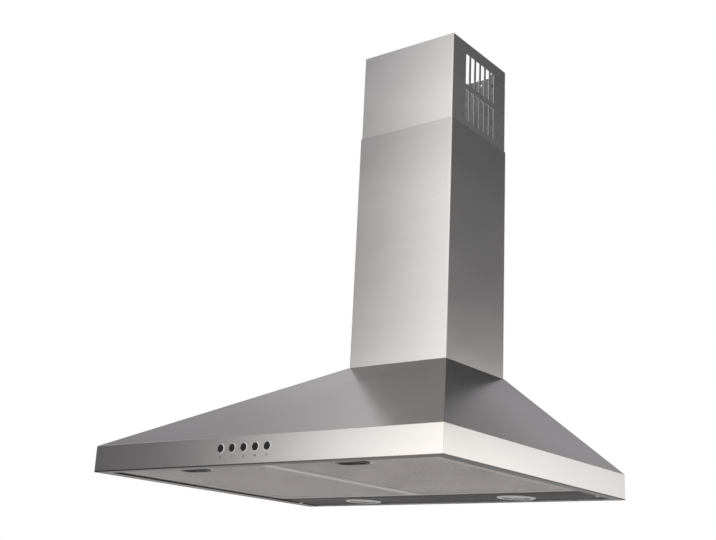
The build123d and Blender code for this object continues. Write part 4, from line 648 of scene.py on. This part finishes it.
latch_black = moulded("latch_plastic", (0.055, 0.055, 0.058), (0.085, 0.085, 0.088), 0.40, 0.55)
lay_on(
    latch_black, "filter_left_latch_cup", "filter_right_latch_cup",
    "filter_left_latch_slider", "filter_right_latch_slider")


# ---- Lamps: chromed rings, frosted lenses and spun cans ----
# Two round lamps push up through the strip near the wall. A frosted glass disc lies on the lip of a ring
# of satin chrome, and a can of spun aluminium closes the top.

def chromed(name, colour, rough, dull, bright, low_rough, high_rough, smudge_scale, edge):
    """Chrome plate with faint finger smudges that dull it in patches."""
    material, tree, shader = new_finish(name, colour, 1.0, rough)
    spot = tree.nodes.new("ShaderNodeTexCoord")
    smudges = noise(tree, spot.outputs["Object"], smudge_scale, 4, 0.6)
    tree.links.new(fitted(tree, smudges, low_rough, high_rough, 0.3, 0.7), shader.inputs["Roughness"])
    tree.links.new(blended(tree, smudges, dull, bright), shader.inputs["Base Color"])
    raised(tree, shader, noise(tree, spot.outputs["Object"], 900, 2), 0.00001, edge)
    return material


satin_chrome = chromed(
    "satin_chrome", (0.46, 0.46, 0.46), 0.28, (0.40, 0.40, 0.405), (0.50, 0.50, 0.495), 0.22, 0.36,
    90, 0.0004)
lay_on(satin_chrome, "lamp_left_bezel", "lamp_right_bezel")

frosted, tree, shader = new_finish("lamp_glass", (0.95, 0.95, 0.93), 0.0, 0.35)
shader.inputs["Transmission Weight"].default_value = 0.85
shader.inputs["IOR"].default_value = 1.45
spot = tree.nodes.new("ShaderNodeTexCoord")
frost = noise(tree, spot.outputs["Object"], 700, 3)
tree.links.new(fitted(tree, frost, 0.30, 0.45), shader.inputs["Roughness"])
raised(tree, shader, noise(tree, spot.outputs["Object"], 1500, 2), 0.00006, 0.0004)
lay_on(frosted, "lamp_left_lens", "lamp_right_lens")

spun_can, tree, shader = new_finish("lamp_can_aluminium", (0.78, 0.78, 0.77), 0.95, 0.3)
grain = place_group(tree, brushing, Lines=(14, 14, 1600))
can_tone = blended(tree, grain.outputs["Tone"], (0.68, 0.68, 0.67), (0.80, 0.80, 0.79))
tree.links.new(can_tone, shader.inputs["Base Color"])
tree.links.new(fitted(tree, grain.outputs["Smears"], 0.24, 0.38), shader.inputs["Roughness"])
raised(tree, shader, grain.outputs["Grain"], 0.00004, 0.0005)
lay_on(spun_can, "lamp_left_can", "lamp_right_can")


# ---- Push buttons, their rings and signs, and their switch body ----
# Five round black caps stand a little proud of bright chrome rings. The switch behind them is one pale
# moulding with flat terminals. The signs are printed on the lip below the rings.

button_count = 5

chrome = chromed(
    "bright_chrome", (0.80, 0.80, 0.80), 0.10, (0.74, 0.74, 0.745), (0.84, 0.84, 0.835), 0.06, 0.20,
    120, 0.0003)
lay_on(chrome, "button_rings")
button_black = moulded(
    "button_plastic", (0.004, 0.004, 0.0045), (0.010, 0.010, 0.011), 0.26, 0.38, 1400.0, 0.00002,
    Specular_IOR_Level=0.3)
lay_on(button_black, *(f"button_{number + 1}" for number in range(button_count)))
switch_pale = moulded("switch_plastic", (0.70, 0.70, 0.68), (0.80, 0.80, 0.78), 0.40, 0.55)
lay_on(switch_pale, "switch_body")

mark_ink = moulded(
    "mark_ink", (0.010, 0.010, 0.011), (0.022, 0.022, 0.024), 0.45, 0.60, 1800.0, 0.000005, 0.0)
print_face = -0.50006


def stroke(corners, faces, points, width, closed=False):
    """Adds a flat printed line through points on the lip's face."""
    count = len(points)
    start = len(corners)
    for place, (x, z) in enumerate(points):
        before = points[place - 1] if place or closed else points[0]
        after = points[(place + 1) % count] if place < count - 1 or closed else points[-1]
        run = Vector((after[0] - before[0], after[1] - before[1])).normalized()
        for side in (-0.5, 0.5):
            corners.append((x - run.y * side * width, print_face, z + run.x * side * width))
    for place in range(count if closed else count - 1):
        here = start + 2 * place
        there = start + 2 * ((place + 1) % count)
        faces.append((here, here + 1, there + 1, there))


def round_points(centre_x, centre_z, radius, steps=20):
    """Points round a circle."""
    turns = [2 * math.pi * step / steps for step in range(steps)]
    return [(centre_x + radius * math.cos(turn), centre_z + radius * math.sin(turn)) for turn in turns]


# from the left: a ring for off, one to three bars for the speeds and a sun for the lamps
ring_width, sign_drop = 0.013, 0.0115
off_radius, bar_pitch, bar_reach = 0.0013, 0.0014, 0.0014
sun_radius, ray_start, ray_end, rays_round = 0.0009, 0.0014, 0.0020, 8
line_width, bar_width, ray_width = 0.0004, 0.0005, 0.0003

button_low, button_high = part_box("button_rings")
button_pitch = (button_high[0] - button_low[0] - ring_width) / (button_count - 1)
mark_height = (button_low[2] + button_high[2]) / 2 - sign_drop
corners, faces = [], []
for number in range(button_count):
    mark_x = button_low[0] + ring_width / 2 + number * button_pitch
    if number == 0:
        stroke(corners, faces, round_points(mark_x, mark_height, off_radius), line_width, True)
    elif number < button_count - 1:
        for bar in range(number):
            bar_x = mark_x + (bar - (number - 1) / 2) * bar_pitch
            ends = [(bar_x, mark_height - bar_reach), (bar_x, mark_height + bar_reach)]
            stroke(corners, faces, ends, bar_width)
    else:
        stroke(corners, faces, round_points(mark_x, mark_height, sun_radius), line_width, True)
        starts = round_points(mark_x, mark_height, ray_start, rays_round)
        tips = round_points(mark_x, mark_height, ray_end, rays_round)
        for ends in zip(starts, tips):
            stroke(corners, faces, ends, ray_width)
marks = bpy.data.meshes.new("button_marks")
marks.from_pydata(corners, [], faces)
marks.materials.append(mark_ink)
lay_mesh("button_marks", marks, "hood")


# ---- Blower: moulded scroll, inlet ring and guard, and its pale impeller ----
# The scroll is two dark plastic halves screwed together at lugs, and stands on four posts from the back
# plate. The impeller is one pale moulding on the motor's shaft.

scroll_grey = moulded("blower_plastic", (0.070, 0.072, 0.076), (0.105, 0.107, 0.112), 0.42, 0.58)
lay_on(scroll_grey, "scroll_rear_half", "scroll_front_half", "inlet_ring", "inlet_guard", "blower_posts")
impeller_pale = moulded("impeller_plastic", (0.46, 0.47, 0.46), (0.56, 0.57, 0.56), 0.36, 0.50)
lay_on(impeller_pale, "impeller")


# ---- Outlet: dark neck and collar with two pale non-return flaps ----
# The neck is moulded, and turns the square mouth of the scroll into a round one that holds the collar.
# The collar takes the duct. The flaps turn in it on one steel pin.

duct_dark = moulded("duct_plastic", (0.055, 0.056, 0.060), (0.085, 0.086, 0.090), 0.42, 0.56)
lay_on(duct_dark, "outlet_transition", "outlet_collar")
flap_pale = moulded("flap_plastic", (0.66, 0.66, 0.64), (0.75, 0.75, 0.73), 0.38, 0.50)
lay_on(flap_pale, "flap_left", "flap_right")


# ---- Motor, shaft, nut, pin, screws and bushes ----
# The motor's case is enamelled dark grey. The shaft is ground bright, and the nut, pin and screws are zinc
# plated. The screws are pan-headed with a cross recess and a rolled thread. The bushes are black rubber.

enamel, tree, shader = new_finish("motor_painted", (0.12, 0.125, 0.13), 0.0, 0.35)
shader.inputs["Coat Weight"].default_value = 0.3
spot = tree.nodes.new("ShaderNodeTexCoord")
peel = noise(tree, spot.outputs["Object"], 420, 3)
tree.links.new(blended(tree, peel, (0.09, 0.093, 0.098), (0.14, 0.145, 0.15)), shader.inputs["Base Color"])
gloss = noise(tree, spot.outputs["Object"], 40, 3)
tree.links.new(fitted(tree, gloss, 0.28, 0.45), shader.inputs["Roughness"])
raised(tree, shader, peel, 0.00008, 0.0006)
lay_on(enamel, "motor")


def turned_metal(name, dark, light, low_rough, high_rough, lines):
    """Ground or plated metal with fine rings or streaks."""
    material, tree, shader = new_finish(name, light, 1.0, low_rough)
    grain = place_group(tree, brushing, Lines=lines)
    tree.links.new(blended(tree, grain.outputs["Tone"], dark, light), shader.inputs["Base Color"])
    tree.links.new(fitted(tree, grain.outputs["Smears"], low_rough, high_rough), shader.inputs["Roughness"])
    raised(tree, shader, grain.outputs["Grain"], 0.00002, 0.0003)
    return material


ground_bar = turned_metal("shaft_steel", (0.56, 0.56, 0.56), (0.70, 0.70, 0.70), 0.14, 0.26, (60, 2600, 60))
lay_on(ground_bar, "motor_shaft")
plated = turned_metal("screw_steel", (0.52, 0.53, 0.52), (0.66, 0.66, 0.64), 0.24, 0.38, (500, 500, 500))
lay_on(plated, "impeller_nut", "flap_pin")

# how far two corners of one screw may lie apart across it, how flat its ends are, and its head's least depth
screw_reach = 0.009
flat_depth = 0.00002
thinnest_head = 0.0003


def screw_places(node_name, axis):
    """Middle, head, neck, foot and two radii of each plain screw in a node, along an axis of the frame."""
    across = [number for number in range(3) if number != axis]
    screws = []
    for vertex in nodes[node_name].data.vertices:
        for screw in screws:
            if all(abs(vertex.co[number] - screw[0][number]) < screw_reach for number in across):
                screw.append(vertex.co.copy())
                break
        else:
            screws.append([vertex.co.copy()])
    places = []
    for screw in screws:
        low = Vector([min(corner[number] for corner in screw) for number in range(3)])
        high = Vector([max(corner[number] for corner in screw) for number in range(3)])
        middle = (low + high) / 2
        radius = {}
        for end in (low[axis], high[axis]):
            level_with = [corner for corner in screw if abs(corner[axis] - end) < flat_depth]
            radius[end] = max(
                math.hypot(*(corner[number] - middle[number] for number in across)) for corner in level_with)
        head = max(radius, key=radius.get)
        foot = min(radius, key=radius.get)
        levels = sorted({round(corner[axis], 6) for corner in screw}, key=lambda level: abs(level - head))
        neck = next(level for level in levels if abs(level - head) > thinnest_head)
        places.append((middle, head, neck, foot, radius[head], radius[foot]))
    return places


screw = bpy.data.node_groups.new("cross_screw", "GeometryNodeTree")
screw.interface.new_socket("Places", in_out="INPUT", socket_type="NodeSocketGeometry")
for socket in ("Head Radius", "Head Depth", "Shank Radius", "Shank Length", "Turns"):
    screw.interface.new_socket(socket, in_out="INPUT", socket_type="NodeSocketFloat")
screw.interface.new_socket("Lie", in_out="INPUT", socket_type="NodeSocketVector")
screw.interface.new_socket("Finish", in_out="INPUT", socket_type="NodeSocketMaterial")
screw.interface.new_socket("Geometry", in_out="OUTPUT", socket_type="NodeSocketGeometry")
given = screw.nodes.new("NodeGroupInput").outputs


def from_list(index, values):
    """A number of the screw's profile by its place in a list."""
    pick = screw.nodes.new("GeometryNodeIndexSwitch")
    pick.data_type = "FLOAT"
    while len(pick.index_switch_items) < len(values):
        pick.index_switch_items.new()
    screw.links.new(index, pick.inputs["Index"])
    for place, value in enumerate(values):
        feed(screw, pick.inputs[place + 1], value)
    return pick.outputs[0]


# the head's rings, as shares: of its radius, of its depth on its face, and of its depth in the cross
head_wide = (0.0, 0.18, 0.40, 0.58, 0.78, 0.93, 1.0, 1.0)
face_deep = (0.0, 0.0, 0.0, 0.02, 0.10, 0.30, 0.62, 1.0)
cross_deep = (0.75, 0.75, 0.70, 0.10, 0.10, 0.30, 0.62, 1.0)
head_rings = len(head_wide)
screw_sides = 16
cross_spacing = 4
crest_share, root_share = 0.1, 0.6
root_radius, tip_radius = 0.84, 0.80

# a sheet of rings by sides: the head's rings, two for each turn of the thread, the tip and its middle
thread_rings = math_node(screw, "MULTIPLY", given["Turns"], 2.0)
sheet = screw.nodes.new("GeometryNodeMeshGrid")
sheet.inputs["Vertices Y"].default_value = screw_sides + 1
screw.links.new(math_node(screw, "ADD", thread_rings, head_rings + 2.0), sheet.inputs["Vertices X"])
number = screw.nodes.new("GeometryNodeInputIndex").outputs[0]
ring = math_node(screw, "FLOOR", math_node(screw, "DIVIDE", number, screw_sides + 1.0))
before = math_node(screw, "MULTIPLY", ring, screw_sides + 1.0)
step = math_node(screw, "SUBTRACT", number, before)
past_head = math_node(screw, "SUBTRACT", ring, float(head_rings))
past_thread = math_node(screw, "SUBTRACT", past_head, thread_rings)
tail = math_node(screw, "MAXIMUM", math_node(screw, "ADD", past_thread, 1.0), 0.0)
zone = math_node(screw, "ADD", math_node(screw, "MINIMUM", ring, float(head_rings)), tail)

# the thread goes from crest to root and back in every turn
at_root = math_node(screw, "MODULO", past_head, 2.0)
turn = math_node(screw, "FLOOR", math_node(screw, "DIVIDE", past_head, 2.0))
in_turn = math_node(screw, "MULTIPLY", at_root, root_share - crest_share)
turn_place = math_node(screw, "ADD", math_node(screw, "ADD", turn, crest_share), in_turn)
thread_along = math_node(screw, "DIVIDE", turn_place, given["Turns"])
narrowed = math_node(screw, "MULTIPLY", at_root, 1 - root_radius)
thread_wide = math_node(screw, "SUBTRACT", 1.0, narrowed)

# each ring's radius and its way down the screw
on_head = math_node(screw, "LESS_THAN", ring, head_rings - 0.5)
wider = math_node(screw, "SUBTRACT", given["Head Radius"], given["Shank Radius"])
head_extra = math_node(screw, "MULTIPLY", on_head, wider)
full_radius = math_node(screw, "ADD", given["Shank Radius"], head_extra)
wide = from_list(zone, (*head_wide, thread_wide, tip_radius, 0.0))
radius = math_node(screw, "MULTIPLY", full_radius, wide)
past_slot = math_node(screw, "MODULO", step, float(cross_spacing))
on_cross = math_node(screw, "LESS_THAN", past_slot, 0.5)
face = from_list(zone, (*face_deep, 1.0, 1.0, 1.0))
slot = from_list(zone, (*cross_deep, 1.0, 1.0, 1.0))
cut = math_node(screw, "MULTIPLY", on_cross, math_node(screw, "SUBTRACT", slot, face))
head_down = math_node(screw, "MULTIPLY", given["Head Depth"], math_node(screw, "ADD", face, cut))
along = from_list(zone, (*([0.0] * head_rings), thread_along, 1.0, 1.0))
shank_down = math_node(screw, "MULTIPLY", given["Shank Length"], along)
angle = math_node(screw, "MULTIPLY", step, 2 * math.pi / screw_sides)
corner = screw.nodes.new("ShaderNodeCombineXYZ")
for socket, operation in (("X", "COSINE"), ("Y", "SINE")):
    across = math_node(screw, "MULTIPLY", radius, math_node(screw, operation, angle))
    screw.links.new(across, corner.inputs[socket])
screw.links.new(math_node(screw, "ADD", head_down, shank_down), corner.inputs["Z"])
rolled = screw.nodes.new("GeometryNodeSetPosition")
screw.links.new(sheet.outputs["Mesh"], rolled.inputs["Geometry"])
screw.links.new(corner.outputs[0], rolled.inputs["Position"])

repeated(screw, given["Finish"], given["Places"], rolled.outputs["Geometry"], given["Lie"])

thread_pitch = 0.0008
fewest_turns, most_turns = 3, 40
weld_gap = 0.000005


def turned_screws(name, node_name, axis, body):
    """Pan-head screws with a cross recess and a rolled thread, in place of the plain ones of a node."""
    screws = screw_places(node_name, axis)
    _, head, neck, foot, head_radius, shank_radius = screws[0]
    length = abs(foot - neck)
    down = Vector([math.copysign(1, foot - head) if number == axis else 0 for number in range(3)])
    places = [[head if number == axis else found[0][number] for number in range(3)] for found in screws]
    mesh = plain_mesh(
        name, screw, places, Head_Radius=head_radius, Head_Depth=abs(neck - head),
        Shank_Radius=shank_radius, Shank_Length=length,
        Turns=float(max(fewest_turns, min(most_turns, round(length / thread_pitch)))),
        Lie=list(Vector((0, 0, 1)).rotation_difference(down).to_euler()), Finish=plated)
    work = bmesh.new()
    work.from_mesh(mesh)
    bmesh.ops.remove_doubles(work, verts=work.verts, dist=weld_gap)
    bmesh.ops.recalc_face_normals(work, faces=work.faces)
    work.to_mesh(mesh)
    work.free()
    piece = lay_mesh(name, mesh, body)
    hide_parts(node_name)


turned_screws("scroll_screws_turned", "scroll_screws", 1, "hood")
turned_screws("blower_screws_turned", "blower_screws", 1, "hood")
turned_screws("motor_screws_turned", "motor_screws", 1, "hood")
turned_screws("lamp_strip_screws_turned", "lamp_strip_screws", 2, "hood")

bush_black = moulded("bush_rubber", (0.020, 0.020, 0.020), (0.035, 0.035, 0.035), 0.65, 0.80, 700.0)
lay_on(bush_black, "blower_bushes", "motor_bushes")


# ---- Electrical pieces on the back plate, and the leads between them ----
# A white capacitor is held in its clip beside a white box with its lid and cream terminal block. The
# lamps' transformer is potted black, the gland is black too, and the leads have a round grey sheath.

case_white = moulded(
    "capacitor_case", (0.74, 0.74, 0.72), (0.84, 0.84, 0.82), 0.16, 0.26, 1500.0, 0.00002, 0.0005,
    Coat_Weight=0.4)
lay_on(case_white, "capacitor")
box_white = moulded("terminal_plastic", (0.74, 0.74, 0.72), (0.83, 0.83, 0.81), 0.38, 0.52)
lay_on(box_white, "terminal_box", "terminal_lid")
block_cream = moulded("terminal_block_plastic", (0.78, 0.76, 0.68), (0.86, 0.85, 0.77), 0.34, 0.48)
lay_on(block_cream, "terminal_block")
potted_black = moulded("transformer_plastic", (0.035, 0.035, 0.038), (0.060, 0.060, 0.064), 0.40, 0.55)
lay_on(potted_black, "lamp_transformer")
gland_black = moulded("gland_plastic", (0.040, 0.040, 0.042), (0.065, 0.065, 0.068), 0.44, 0.58)
lay_on(gland_black, "cable_gland")
lead_grey = moulded("lead_sheath", (0.50, 0.50, 0.48), (0.60, 0.60, 0.58), 0.30, 0.42, 1600.0, 0.00002)
lay_on(lead_grey, "motor_lead", "lamp_leads", "switch_lead")
